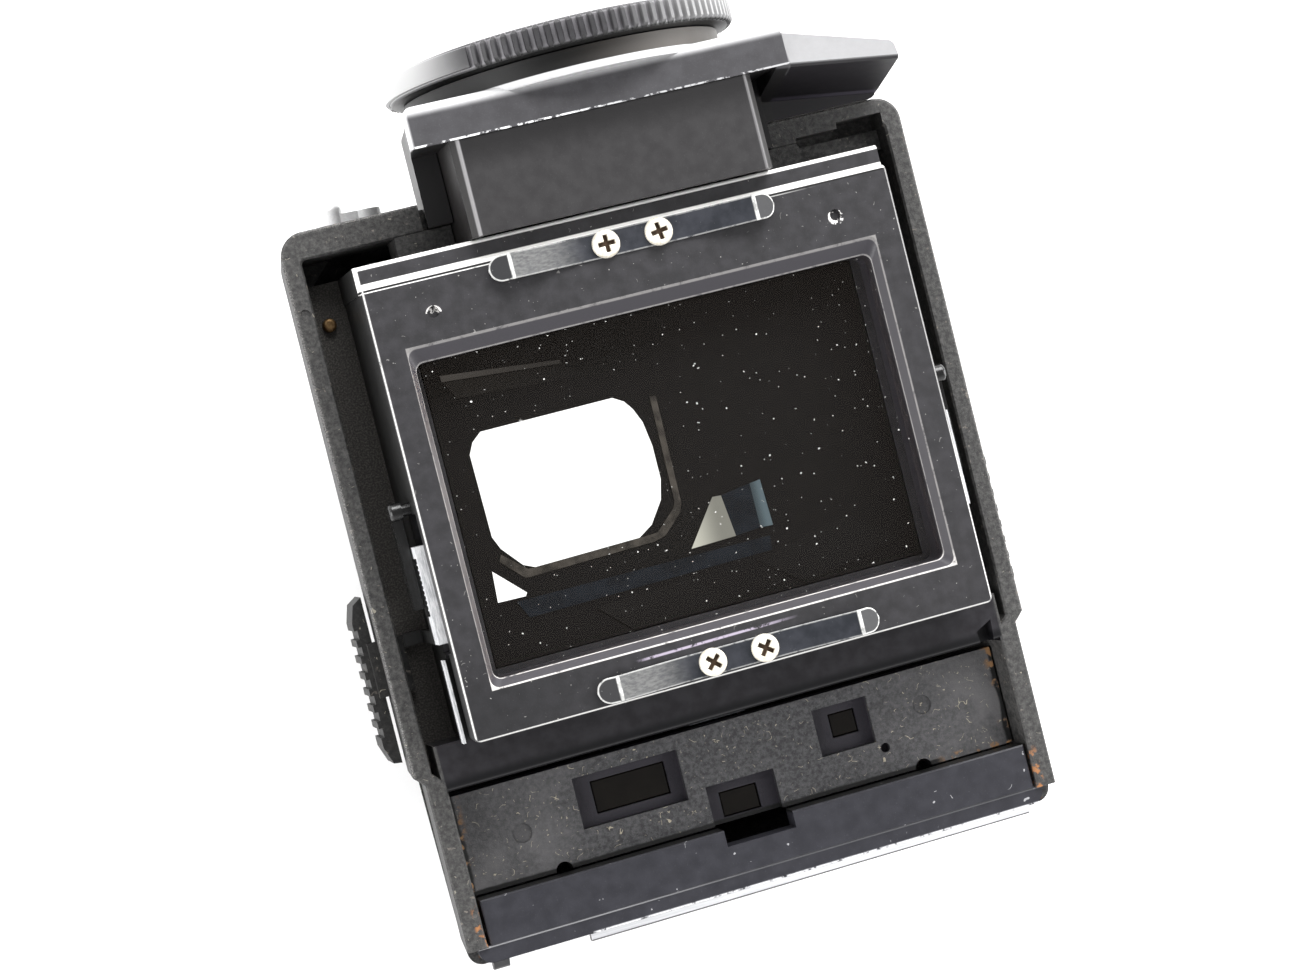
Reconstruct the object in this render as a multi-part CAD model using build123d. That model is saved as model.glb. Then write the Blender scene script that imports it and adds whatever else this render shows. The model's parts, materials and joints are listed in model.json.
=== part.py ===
from build123d import *
import os
from math import atan2, cos, pi, sin, tan

# Removable reflex viewfinder with a roof prism and a round high-eyepoint eyepiece.
# Frame: origin in the seat plane (the casing rim) under the middle of the screen opening,
# +Z out of the underside, -Y to the front (nameplate), +Y to the eyepiece. It lies on its roof.

# ---- driving dimensions, mm ---------------------------------------------------------------
rear_half_w, front_half_w = 25.9, 25.1      # casing outside, rear and front stretch
rear_y, front_y = 24.4, -34.9               # casing outside, back and front
step_y = -19.0                              # where the casing narrows
side_wall, front_side_wall = 1.5, 1.6       # wall at the rim, rear and front stretch
back_wall, front_wall = 2.2, 1.2
wall_end_y = -33.35                         # where the side walls end, short of the front lip
lip_depth = 1.7                             # the front wall lies this far under the rim
skirt_depth = 7.0                           # drafted wall of the casing under the rim
draft = 4.5                                 # degrees, of that wall
skirt_inset = skirt_depth * tan(draft * pi / 180)
roof_z, roof_half_w = -30.0, 11.5
roof_front, roof_back = -27.0, 17.0
shell = 1.5                                 # casing wall over the prism
rim_break = 0.15                            # small chamfer along the rim's edges
dimple_x, dimple_y = -25.1, 18.05           # round mark in the left rim

block_half_w, block_front, block_back = 21.4, -17.0, 18.7
block_z = 6.7                               # screen frame stands proud of the rim by this
open_half_w, open_half_d = 19.2, 13.4       # screen opening
seat_x0, seat_x1, seat_y0, seat_y1 = -18.7, 18.6, -12.7, 12.1   # foot of the opening's slopes
seat_z = 5.9
trench_z = -4.0                             # floor around the screen frame
ledge_back = 20.3

spring_width, spring_t = 2.0, 0.2
spring_screw_x = 2.15                       # half the pitch of the two screws of each leaf
leaf_places = {"rear": (0.0, 17.6), "front": (0.15, -15.7)}     # middle of each leaf
leaf_half_len, leaf_bend = 11.5, 10.0
leaf_lift = 1.1
head_r, head_h, shank_r = 1.1, 0.55, 0.7

axis_z = -3.0                               # optical axis of the eyepiece
plate_half_w, plate_z, plate_y0, plate_y1 = 15.3, 8.0, 27.85, 31.1
plate_round = 0.9                           # rounding of the plate's rear edges
wing_turn = 7.75                            # degrees the wing's ridge turns from the plate
tunnel_y0, tunnel_wall = 20.35, 1.0
blade_half_w, blade_len, blade_t = 8.6, 6.95, 0.3
blade_y, blade_rise = 27.35, 7.1            # blade hinge line, and its height off the axis
collar_r, collar_end = 12.9, 32.5
ring_r, ring_y0, ring_y1 = 14.4, 32.6, 34.9
sleeve_r, sleeve_y0, sight_r = 10.6, 30.75, 9.6
glass_r, glass_seat_y = 10.4, 32.9          # seat of the protective glass
thread_r, thread_y = 10.9, 33.9             # accessory thread in front of it, to the ring's face
lens_r = 9.7
fit = 0.05                                  # radial clearance of a turning fit

panel_half_w, panel_back, panel_front = 23.3, -21.5, -29.6
panel_z, panel_t = -3.0, 1.6
knob_front, knob_back = -17.9, -4.4
knob_z0, knob_z1 = -7.4, -3.6
knob_out = 1.25
shank_front, shank_back = -12.5, -8.1       # shank of the button in its slot
release_travel = 2.4
stop_pin_y = 1.55
rib_front, rib_round = -20.75, 0.4          # front face of the cross rib and its rounded edge
pocket_x0, pocket_x1 = 16.9, 24.3           # open corner pockets in front of the back wall
entrance_z = 2.4                            # entrance face of the prism
clamp_screw_x, clamp_screw_y = 4.2, -18.6
cover_screw_x, cover_screw_z = 19.0, -5.2
lip_x0, lip_x1, lip_front, lip_z = -24.2, 23.9, -34.65, -0.4
trim_spans, trim_front = [(-23.3, -22.0), (-15.2, 22.6)], -35.35
contact_r, contact_places = 0.55, [(-23.0, 17.0), (23.0, 17.0)]
# windows of the front panel: name, then x0, x1, y0, y1 of the recess and of the window
windows = {
    "left": (-13.3, -4.4, -26.9, -22.7, -11.8, -5.5, -26.1, -23.4),
    "centre": (-2.85, 3.0, -31.0, -26.3, -1.75, 1.5, -29.2, -27.1),
    "right": (7.25, 12.0, -26.55, -22.65, 8.7, 11.0, -25.4, -23.4),
}
lever_x, lever_z, lever_reach = -17.6, -11.0, 3.0   # pivot of the blind lever and its arm


# ---- small helpers --------------------------------------------------------------------------
def box(x0, x1, y0, y1, z0, z1):
    """A block between two corners."""
    return Pos((x0 + x1) / 2, (y0 + y1) / 2, (z0 + z1) / 2) * Box(
        abs(x1 - x0), abs(y1 - y0), abs(z1 - z0))


def disc_y(r, y0, y1, x=0.0, z=0.0):
    """A cylinder along Y from y0 to y1."""
    return Pos(x, (y0 + y1) / 2, z) * Rot(90, 0, 0) * Cylinder(r, abs(y1 - y0))


def disc_z(r, z0, z1, x=0.0, y=0.0):
    """A cylinder along Z from z0 to z1."""
    return Pos(x, y, (z0 + z1) / 2) * Cylinder(r, abs(z1 - z0))


def disc_x(r, x0, x1, y=0.0, z=0.0):
    """A cylinder along X from x0 to x1."""
    return Pos((x0 + x1) / 2, y, z) * Rot(0, 90, 0) * Cylinder(r, abs(x1 - x0))


def prism_x(points, x0, x1):
    """A (y, z) polygon extruded along X."""
    face = Plane.YZ.offset(x0) * Polygon(*points, align=None)
    return extrude(face, x1 - x0, dir=(1, 0, 0))


def prism_y(points, y0, y1):
    """An (x, z) polygon extruded along Y."""
    face = Polygon(*[(x, -z) for x, z in points], align=None)
    return extrude(Pos(0, y0, 0) * Rot(-90, 0, 0) * face, y1 - y0, dir=(0, 1, 0))


def prism_z(points, z0, z1):
    """An (x, y) polygon extruded along Z."""
    return extrude(Pos(0, 0, z0) * Polygon(*points, align=None), z1 - z0, dir=(0, 0, 1))


def mirrored(solid):
    return mirror(solid, about=Plane.YZ)


def save(name, *solids):
    """Write one node: a single solid, or a group of equal ones."""
    shape = solids[0] if len(solids) == 1 else Compound(children=list(solids))
    export_step(shape, f"parts/{name}.step")


# ---- casing -----------------------------------------------------------------------------------
def outline(inset_wide, inset_narrow, inset_back, inset_front, corner_back, corner_front):
    """The casing's plan: a wide rear stretch, a bevelled step and a narrower front stretch."""
    wide, narrow = rear_half_w - inset_wide, front_half_w - inset_narrow
    back, front = rear_y - inset_back, front_y + inset_front
    half = [(wide, back), (wide, step_y), (narrow, step_y - abs(wide - narrow)),
            (narrow, front)]
    plan = Polygon(*half, *[(-x, y) for x, y in reversed(half)], align=None)
    plan = fillet(plan.vertices().filter_by_position(Axis.Y, back - 0.01, back + 0.01),
                  corner_back)
    return fillet(plan.vertices().filter_by_position(Axis.Y, front - 0.01, front + 0.01),
                  corner_front)


def carried_down(insets, corners, edge, narrowing):
    """The casing's plan from the rim down to the hump; edge breaks the rim's edge."""
    sections = []
    for extra, z in ((edge, 0.0), (0.0, -abs(edge)), (narrowing, -skirt_depth - 0.01)):
        plan = outline(*[inset + extra for inset in insets], *corners)
        sections.append(Pos(0, 0, z) * plan.face())
    return loft(sections, ruled=True)


def cut_corner_plan(back_half_w, ahead_half_w, back, ahead, cut, z):
    """A plan with cut corners, wider at the back, at height z."""
    half = [(back_half_w - cut, back), (back_half_w, back - cut), (ahead_half_w, ahead + cut),
            (ahead_half_w - cut, ahead)]
    points = half + [(-x, y) for x, y in reversed(half)]
    return Pos(0, 0, z) * Polygon(*points, align=None)


def hump(inset):
    """The faceted body over the prism, from the skirt to the flat roof."""
    shrink = skirt_inset + inset
    base = cut_corner_plan(rear_half_w - shrink, front_half_w - shrink, rear_y - shrink,
                           front_y + shrink, 2.6, -skirt_depth)
    roof = cut_corner_plan(roof_half_w - inset / 2, roof_half_w - inset / 2,
                           roof_back - inset / 2, roof_front + inset / 2, 1.6, roof_z + inset)
    return loft([base, roof], ruled=True)


def front_slope():
    """A plane on the sloping front face, its X to the right and its Y towards the rim."""
    low_y = front_y + skirt_inset
    lean = atan2(roof_front - low_y, -skirt_depth - roof_z)
    height = 0.5 * (-skirt_depth - roof_z)
    return Plane(origin=(0, low_y + height * tan(lean), -skirt_depth - height),
                 x_dir=(1, 0, 0), z_dir=(0, -cos(lean), -sin(lean)))


def make_nameplate(grow=0.0):
    """Blank plate let into the front face, tilted with it."""
    half_low, half_high, half_tall = 16.5 + grow, 11.0 + grow, 6.4 + grow
    face = Polygon((-half_low, half_tall), (half_low, half_tall), (half_high, -half_tall),
                   (-half_high, -half_tall), align=None)
    return extrude(front_slope().offset(-0.6 - grow) * face, 0.85 + 2 * grow,
                   dir=front_slope().z_dir)


def eyepiece_outline(grow=0.0):
    """The eyepiece housing seen from behind, narrowing towards the roof."""
    half = [(plate_half_w + grow, plate_z + grow), (13.6 + grow, axis_z), (13.0 + grow, -9.0),
            (8.0 + grow, -17.0 - grow)]
    return [(-x, z) for x, z in reversed(half)] + half


def tunnel_outline(grow=0.0):
    """The light duct seen from behind."""
    half = [(12.2 + grow, 7.9 + grow), (12.2 + grow, axis_z), (11.7 + grow, -8.8),
            (7.2 + grow, -15.6 - grow)]
    return [(-x, z) for x, z in reversed(half)] + half


def make_casing():
    outer = carried_down([0, 0, 0, 0], [2.0, 1.2], rim_break, skirt_inset) + hump(0)
    outer += disc_y(2.5, 19.0, rear_y - 0.1, lever_x, lever_z)      # boss of the blind lever
    walls = [side_wall, front_side_wall, back_wall, front_wall]
    cavity = carried_down(walls, [0.4, 0.8], -rim_break, 0)
    body = outer - cavity - hump(shell)
    # ways through for the eyepiece housing and for the lever's shaft
    body -= prism_y(eyepiece_outline(0.05), 18.0, 31.0)
    body -= box(-14.5, 14.5, 21.0, 26.0, axis_z, 1.0)
    body -= disc_y(0.8, 15.0, 30.0, lever_x, lever_z)
    # slots for the shanks of the two release buttons
    for side in (-1, 1):
        body -= box(side * 23.0, side * 27.5, shank_front - 0.3,
                    shank_back + release_travel + 0.3, -4.05, -2.9)
    # seats of the nameplate, the front lip and the two cover screws
    body -= make_nameplate(0.03)
    body -= box(-30, 30, front_y - 1, wall_end_y, -lip_depth, 1)
    for x in (-cover_screw_x, cover_screw_x):
        body -= disc_y(1.25, front_y - 0.1, front_y + 0.6, x, cover_screw_z)
        body -= disc_y(shank_r + 0.02, front_y, front_y + 3.0, x, cover_screw_z)
    # cross rib in front of the screen frame, level with the rim, and its notch on the right
    rib = box(-front_half_w + 1.3, front_half_w - 1.3, rib_front, block_front - 0.02,
              trench_z, 0.0)
    rib = fillet(rib.edges().filter_by(Axis.X).group_by(Axis.Z)[-1].sort_by(Axis.Y)[0],
                 rib_round)
    body += rib
    body -= prism_z([(21.6, -19.7), (23.0, -19.0), (22.8, -22), (21.9, -22)], -1.5, 0.1)
    # the back wall is thick beside the light duct, and has a low floor at its right end
    for side in (-1, 1):
        body += box(side * 12.3, side * pocket_x0, ledge_back + 0.1, 22.25, trench_z, 0.0)
    body += box(pocket_x0 - 0.1, pocket_x1, ledge_back + 0.1, 22.25, trench_z, -2.0)
    # two pockets cast into the right end of the back wall, and the mark in the left rim
    body -= box(16.8, 20.5, 22.0, 22.7, -3.0, 0.1)
    body -= box(20.4, pocket_x1, 22.0, 23.2, -3.0, 0.1)
    return body - disc_z(0.4, -0.12, 0.1, dimple_x, dimple_y)


# ---- screen frame (the block), prism and base lens ----------------------------------------------
def rounded_plan(x0, x1, y0, y1, z, radius=0.7):
    """A rectangle with round corners at height z."""
    return Pos((x0 + x1) / 2, (y0 + y1) / 2, z) * RectangleRounded(x1 - x0, y1 - y0, radius)


def make_screen_frame():
    frame = box(-block_half_w, block_half_w, block_front, block_back, trench_z, block_z)
    frame = fillet(frame.edges().filter_by(Axis.Z), 0.5)
    frame = chamfer(frame.faces().sort_by(Axis.Z)[-1].edges(), 0.2)
    # ledge behind the block, with its rounded rear edge
    ledge = box(-21.5, 21.2, block_back - 0.5, ledge_back, trench_z, block_z - 0.5)
    frame += fillet(ledge.edges().filter_by(Axis.X).sort_by(Axis.Z)[-2:], 0.4)
    # flange: floor of the gap around the block, and under the casing's cross rib
    frame += box(-24.3, 24.3, step_y + 0.05, ledge_back, trench_z - 1.2, trench_z)
    frame += box(-23.4, 23.4, rib_front, step_y + 0.1, trench_z - 1.2, trench_z)
    # sloping sides of the opening, the well of the base lens, and room for the prism
    top = rounded_plan(-open_half_w, open_half_w, -open_half_d, open_half_d, block_z)
    foot = rounded_plan(seat_x0, seat_x1, seat_y0, seat_y1, seat_z)
    frame -= loft([top, foot], ruled=True)
    frame -= extrude(foot, seat_z - 2.65, dir=(0, 0, -1))
    frame -= box(-17.9, 17.9, -12.2, 13.9, -8.0, 3.0)
    frame -= box(-14.2, 14.2, 12.0, ledge_back + 1, -8.0, 4.4)
    # shallow dowel dimples behind the opening
    for x in (-16.4, 16.4):
        frame -= disc_z(0.45, block_z - 0.3, block_z + 1, x, 15.65)
    # tapped holes of the leaf springs
    for middle, y in leaf_places.values():
        for x in (middle - spring_screw_x, middle + spring_screw_x):
            frame -= disc_z(shank_r + 0.02, block_z - 2.2, block_z + 1, x, y)
    # tapped holes of the clamp
    for x in (-clamp_screw_x, clamp_screw_x):
        frame -= disc_z(shank_r + 0.02, -6.0, -3.6, x, clamp_screw_y)
    # seats on both flanks for the latch slide, the stop pin and the guide strip
    for side in (-1, 1):
        frame -= box(side * 20.6, side * 22.0, -10.0, 1.06, 1.6, 5.4)
        frame -= box(side * 20.9, side * 22.0, -17.5, -10.0, 2.4, 4.2)
        frame -= disc_x(0.5, side * 20.4, side * 22.0, stop_pin_y, 3.4)
    # seats of the contact pins in the floor of the gap
    for x, y in contact_places:
        frame -= disc_z(contact_r + 0.02, -8.0, -3.0, x, y)
    return frame


def make_base_lens():
    """Plano-convex lens that closes the screen opening, flat side out."""
    low, high, radius = 2.85, seat_z - 0.05, 140.0
    plan = rounded_plan(seat_x0 + 0.05, seat_x1 - 0.05, seat_y0 + 0.05, seat_y1 - 0.05, high)
    plate = extrude(plan, high - low, dir=(0, 0, -1))
    dome = Pos(0, 0, low + radius) * Sphere(radius)
    return chamfer((plate & dome).faces().sort_by(Axis.Z)[-1].edges(), 0.2)


def make_lens_mask():
    """Thin black mask between the base lens and the prism."""
    mask = box(-17.7, 17.7, -12.0, 12.0, entrance_z + 0.05, entrance_z + 0.2)
    return mask - box(-16.6, 16.6, -10.6, 10.9, 0, 5)


def prism_ridge(y):
    """Height of the prism's ridge at y."""
    return -27.0 + (y + 14.0) * 5.0 / 22.5


def make_prism():
    """Roof prism: light enters at the flat face under the lens and leaves towards +Y."""
    side = [(-11.8, entrance_z), (11.0, entrance_z), (13.4, 0.5), (13.4, -17.0),
            (8.5, prism_ridge(8.5)), (-14.0, prism_ridge(-14.0)), (-21.0, -22.0),
            (-20.5, -12.0), (-11.8, -5.6)]
    across = [(-17.6, entrance_z + 1), (17.6, entrance_z + 1), (17.6, -11.5), (3.0, -27.4),
              (-3.0, -27.4), (-17.6, -11.5)]
    return prism_x(side, -17.6, 17.6) & prism_y(across, -24.0, 15.0)


def make_clamp():
    """Bent strap that holds the prism up to the frame."""
    low = prism_ridge(-14.2) - 0.65
    inner = [(clamp_screw_y + 2, -5.75), (-20.9, -5.75), (-21.6, -11.7), (-22.0, -22.3),
             (-14.2, low), (8.8, prism_ridge(8.8) - 0.65)]
    outer = [(clamp_screw_y + 2, -5.25), (-21.4, -5.25), (-22.1, -11.7), (-22.5, -22.6),
             (-14.4, low - 0.45), (8.9, prism_ridge(8.9) - 1.1)]
    strap = prism_x(inner + outer[::-1], -2.4, 2.4)
    strap += box(-5.4, 5.4, clamp_screw_y - 1.4, clamp_screw_y + 1.4, -5.75, -5.25)
    for x in (-clamp_screw_x, clamp_screw_x):
        strap -= disc_z(shank_r + 0.02, -7, -4, x, clamp_screw_y)
    return strap


def clamp_screw(x):
    head = disc_z(head_r, -5.76 - head_h, -5.76, x, clamp_screw_y)
    return head + disc_z(shank_r, -5.8, trench_z - 0.05, x, clamp_screw_y)


def prism_pad(y0, y1):
    """Foam pad between the strap and the prism's ridge."""
    under = [(y, prism_ridge(y) - 0.04) for y in (y0, y1)]
    over = [(y, prism_ridge(y) - 0.58) for y in (y1, y0)]
    return prism_x(under + over, -2.2, 2.2)


# ---- leaf springs and screws --------------------------------------------------------------------
def make_leaf(middle, y):
    """Leaf bowed up at both ends, with turned-down tips."""
    z = block_z
    rise = [(0.0, z), (4.2, z), (leaf_bend, z + leaf_lift), (leaf_half_len, z + 0.55)]
    lower = [(-px, pz) for px, pz in reversed(rise[1:])] + rise
    upper = [(px, pz + spring_t) for px, pz in lower]
    leaf = prism_y(lower + upper[::-1], y - spring_width / 2, y + spring_width / 2)
    for x in (-spring_screw_x, spring_screw_x):
        leaf -= disc_z(shank_r + 0.02, z - 1, z + 2, x, y)
    return Pos(middle, 0, 0) * leaf


def spring_screw(x, y):
    """Cross-slot pan-head screw."""
    z = block_z + spring_t
    head = disc_z(head_r, z, z + head_h, x, y)
    head = fillet(head.faces().sort_by(Axis.Z)[-1].edges(), 0.25)
    shank = disc_z(shank_r, z - 2.2, z + 0.1, x, y)
    cross = Pos(x, y, z + head_h) * (Box(1.25, 0.3, 0.7) + Box(0.3, 1.25, 0.7))
    return head + shank - cross


# ---- release buttons and latches: the left side, of which the right is the mirror image ----------
def make_button():
    """Ribbed slider outside the casing, with its shank in the slot."""
    x_in, x_out = -rear_half_w - 0.08, -rear_half_w - knob_out
    plan = [(x_in, knob_back), (x_in, knob_front), (x_out + 0.5, knob_front + 0.1),
            (x_out, knob_front + 1.5), (x_out, knob_back - 1.9), (x_out + 0.4, knob_back - 0.5)]
    knob = prism_z(plan, knob_z0, knob_z1)
    grooves = 7
    pitch = (knob_back - knob_front - 4.2) / grooves
    for i in range(grooves):
        y = knob_front + 2.0 + (i + 0.5) * pitch
        knob -= box(x_out - 1, x_out + 0.28, y - pitch * 0.28, y + pitch * 0.28, -8, 0)
    return knob + box(x_in - 0.5, -23.6, shank_front, shank_back, -3.95, -3.0)


def make_latch():
    """Bright slide on the block's flank, tied to the button's shank."""
    slide = box(-22.05, -20.75, -9.1, -1.4, 2.0, 5.0)
    slide -= box(-22.2, -21.0, -6.9, -2.3, 2.6, 4.4)
    arm = box(-22.05, -21.55, shank_back - 1.0, shank_back, -3.6, 2.1)
    return slide + arm + box(-23.55, -21.55, shank_back - 1.0, shank_back, -3.9, -3.2)


def make_latch_spring():
    """Envelope of the small compression spring in the slide's window."""
    return disc_y(0.42, -6.6, -2.6, -21.5, 3.5) - disc_y(0.24, -7.0, -2.0, -21.5, 3.5)


def make_guide():
    """Folded guide strip in front of the slide."""
    leaf = box(-21.95, -21.75, -17.0, -10.4, 2.5, 4.1)
    return leaf + box(-21.8, -20.95, -17.0, -10.4, 2.5, 2.7)


def make_stop_pin():
    """Pin that stops the slide, with a broad head and a dark rail beside the slide."""
    head = disc_x(0.72, -23.1, -22.12, stop_pin_y, 3.3)
    head = fillet(head.edges().filter_by(GeomType.CIRCLE).sort_by(Axis.X)[0], 0.3)
    rail = box(-22.9, -22.12, -6.2, stop_pin_y, 1.3, 2.8)
    return head + rail + disc_x(0.48, -22.2, -20.45, stop_pin_y, 3.4)


# ---- eyepiece --------------------------------------------------------------------------------------
def make_housing():
    """Rear plate with the eyepiece collar, the hood behind the hump and the right wing."""
    body = prism_y(eyepiece_outline(), 19.5, plate_y1)
    rear_edges = body.faces().sort_by(Axis.Y)[-1].edges().sort_by(Axis.Z)
    body = fillet(rear_edges[-3:], plate_round)             # top and upper sides, at the rear
    body -= box(-40, 40, 0, plate_y0, 1.6, 20)              # only the plate stands this high
    body -= box(-40, 40, 0, 22.3, -7.1, 20)                 # clear of the screen frame
    body -= prism_y(tunnel_outline(0.1), 0.0, plate_y0)
    root_x = plate_half_w - 1.0
    web = prism_x([(-4.0, -6.0), (-4.0, 0.0), (-1.6, 0.3), (0.0, plate_z - 0.3),
                   (0.3, plate_z), (5.0, 6.2), (5.0, -6.0)], -2.0, 12.0)
    web = Pos(root_x + 1.1, 27.6, 0) * Rot(0, 0, -wing_turn) * web
    plan = prism_z([(root_x, 24.45), (24.2, 24.45), (24.2, 27.9), (root_x, 30.8)],
                   -6.0, plate_z)
    plan = fillet(plan.edges().filter_by(Axis.Z).sort_by(Axis.X)[-2:], 0.6)
    body += web & plan
    body += disc_y(collar_r, plate_y1 - 0.5, collar_end, 0, axis_z)
    body -= disc_y(sleeve_r + fit, sleeve_y0 - 0.15, collar_end + 1, 0, axis_z)
    return body - disc_y(lens_r + 0.05, plate_y0 - 1, collar_end, 0, axis_z)


def make_tunnel():
    """Light duct from the prism to the eyepiece plate."""
    duct = prism_y(tunnel_outline(), tunnel_y0, plate_y0)
    duct = chamfer(duct.edges().filter_by(Axis.Y).sort_by(Axis.Z)[-2:], 0.6)
    return duct - prism_y(tunnel_outline(-tunnel_wall), tunnel_y0 - 1, plate_y0 + 1)


def make_eyepiece_mask():
    """Black mask on the prism's exit face, with a cut-cornered opening."""
    mask = prism_y([(-14.0, 4.2), (14.0, 4.2), (14.0, -12.5), (9.0, -16.0), (-9.0, -16.0),
                    (-14.0, -12.5)], 14.1, 14.4)
    return mask - cut_corner_hole(8.8, 7.2, 3.0)


def cut_corner_hole(half_w, half_h, cut):
    points = [(half_w, half_h - cut), (half_w - cut, half_h), (cut - half_w, half_h),
              (-half_w, half_h - cut), (-half_w, cut - half_h), (cut - half_w, -half_h),
              (half_w - cut, -half_h), (half_w, cut - half_h)]
    return prism_y([(x, axis_z + z) for x, z in points], 13.0, 16.0)


def lens_blank(y0, y1, radius, bulge):
    """A round lens along Y with one spherical face: -1 bulges to the front, 1 to the rear."""
    centre = y0 + radius if bulge < 0 else y1 - radius
    return disc_y(lens_r, y0, y1, 0, axis_z) & (Pos(0, centre, axis_z) * Sphere(radius))


def make_retainer():
    ring = disc_y(lens_r, 30.15, 30.55, 0, axis_z) - disc_y(8.9, 30, 31, 0, axis_z)
    for side in (-1, 1):
        ring -= box(side * 8.0, side * 10.5, 30.35, 31, axis_z - 0.5, axis_z + 0.5)
    return ring


def make_ring():
    """Rim of the screw-in eyepiece ring, with the accessory thread and the seat of the glass."""
    ring = disc_y(ring_r, ring_y0, ring_y1, 0, axis_z)
    ring = chamfer(ring.edges().filter_by(GeomType.CIRCLE), 0.25)
    ring -= disc_y(thread_r, thread_y, ring_y1 + 1, 0, axis_z)
    ring -= disc_y(glass_r, glass_seat_y, ring_y1, 0, axis_z)
    return ring - disc_y(sight_r, 30, 36, 0, axis_z)


def make_sleeve():
    """Threaded sleeve that carries the ring in the collar."""
    return disc_y(sleeve_r, sleeve_y0, ring_y0, 0, axis_z) - disc_y(sight_r, 30, 36, 0, axis_z)


def make_eyepiece_glass():
    glass = disc_y(glass_r - fit, glass_seat_y + 0.02, glass_seat_y + 0.9, 0, axis_z)
    return chamfer(glass.edges().filter_by(GeomType.CIRCLE), 0.15)


def make_blade(side):
    """Half of the eyepiece blind, folded back along the duct; side 1 is the rim side."""
    z = axis_z + side * blade_rise
    leaf = box(-blade_half_w, blade_half_w, blade_y - blade_len, blade_y, z, z + side * blade_t)
    return leaf + disc_x(0.3, -blade_half_w - 0.2, blade_half_w + 0.2, blade_y, z)


def make_lever():
    """Finger lever of the blind on the left shoulder, with its shaft."""
    near, far = rear_y + 0.05, rear_y + 1.4
    hub = disc_y(1.9, near, far, lever_x, lever_z)
    end_x, end_z = lever_x - lever_reach, lever_z + 1.4
    tab = disc_y(1.6, near, rear_y + 2.5, end_x, end_z)
    tab = fillet(tab.edges().filter_by(GeomType.CIRCLE).sort_by(Axis.Y)[-1], 0.7)
    arm = prism_y([(lever_x, lever_z + 1.8), (lever_x, lever_z - 1.8), (end_x, end_z - 1.5),
                   (end_x, end_z + 1.5)], near, far)
    return hub + arm + tab + disc_y(0.75, rear_y - 4.5, rear_y + 0.2, lever_x, lever_z)


# ---- front -----------------------------------------------------------------------------------------
def make_panel():
    """Floor of the front bay, with three stepped windows."""
    panel = box(-panel_half_w, panel_half_w, panel_front, panel_back, panel_z - panel_t, panel_z)
    for x0, x1, y0, y1, wx0, wx1, wy0, wy1 in windows.values():
        panel -= box(x0, x1, y0, y1, panel_z - 0.8, panel_z + 1)
        panel -= box(wx0, wx1, wy0, wy1, panel_z - 3, panel_z + 1)
    for x in (-15.6, 15.4):                                 # half-round notches at the lip
        panel -= disc_z(0.7, panel_z - 3, panel_z + 1, x, panel_front)
    for x, y in ((-18.2, -25.8), (16.5, -24.6)):            # ejector marks
        panel -= disc_z(0.8, panel_z - 0.12, panel_z + 1, x, y)
    return panel - disc_z(0.4, panel_z - 0.8, panel_z + 1, 12.6, -27.2)


def make_window(name):
    wx0, wx1, wy0, wy1 = windows[name][4:]
    glass = box(wx0 + 0.04, wx1 - 0.04, wy0 + 0.04, wy1 - 0.04, panel_z - panel_t,
                panel_z - 0.95)
    return chamfer(glass.faces().sort_by(Axis.Z)[-1].edges(), 0.1)


def make_apron():
    """Smooth lip: a strip between the side walls, then the casing's front edge ahead of them."""
    strip = box(-23.2, 23.2, wall_end_y, panel_front - 0.05, -2.2, -0.2)
    strip = chamfer(strip.faces().sort_by(Axis.Z)[-1].edges(), 0.12)
    lip = box(lip_x0, lip_x1, lip_front, wall_end_y + 0.1, -lip_depth + 0.02, lip_z)
    lip = fillet(lip.edges().filter_by(Axis.Z).sort_by(Axis.Y)[:2], 1.0)
    x0, x1, y0 = windows["centre"][0], windows["centre"][1], windows["centre"][2]
    return strip + lip - box(x0, x1, y0, -28, -3, 1)


def make_trim(x0, x1):
    """Bare bevelled edge of the front, below the lip."""
    rise = lip_front - trim_front
    low = -lip_depth + 0.02
    points = [(lip_front - 0.02, lip_z), (trim_front, lip_z - rise), (trim_front, low),
              (lip_front - 0.02, low)]
    return prism_x(points, x0, x1)


def cover_screw(x):
    head = disc_y(1.2, front_y + 0.05, front_y + 0.55, x, cover_screw_z)
    head -= box(x - 0.95, x + 0.95, front_y, front_y + 0.25, cover_screw_z - 0.15,
                cover_screw_z + 0.15)
    return head + disc_y(shank_r, front_y + 0.5, front_y + 2.6, x, cover_screw_z)


def contact_pin(x, y):
    pin = disc_z(contact_r, -5.1, -3.4, x, y)
    return fillet(pin.edges().filter_by(GeomType.CIRCLE).sort_by(Axis.Z)[-1], 0.25)


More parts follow.
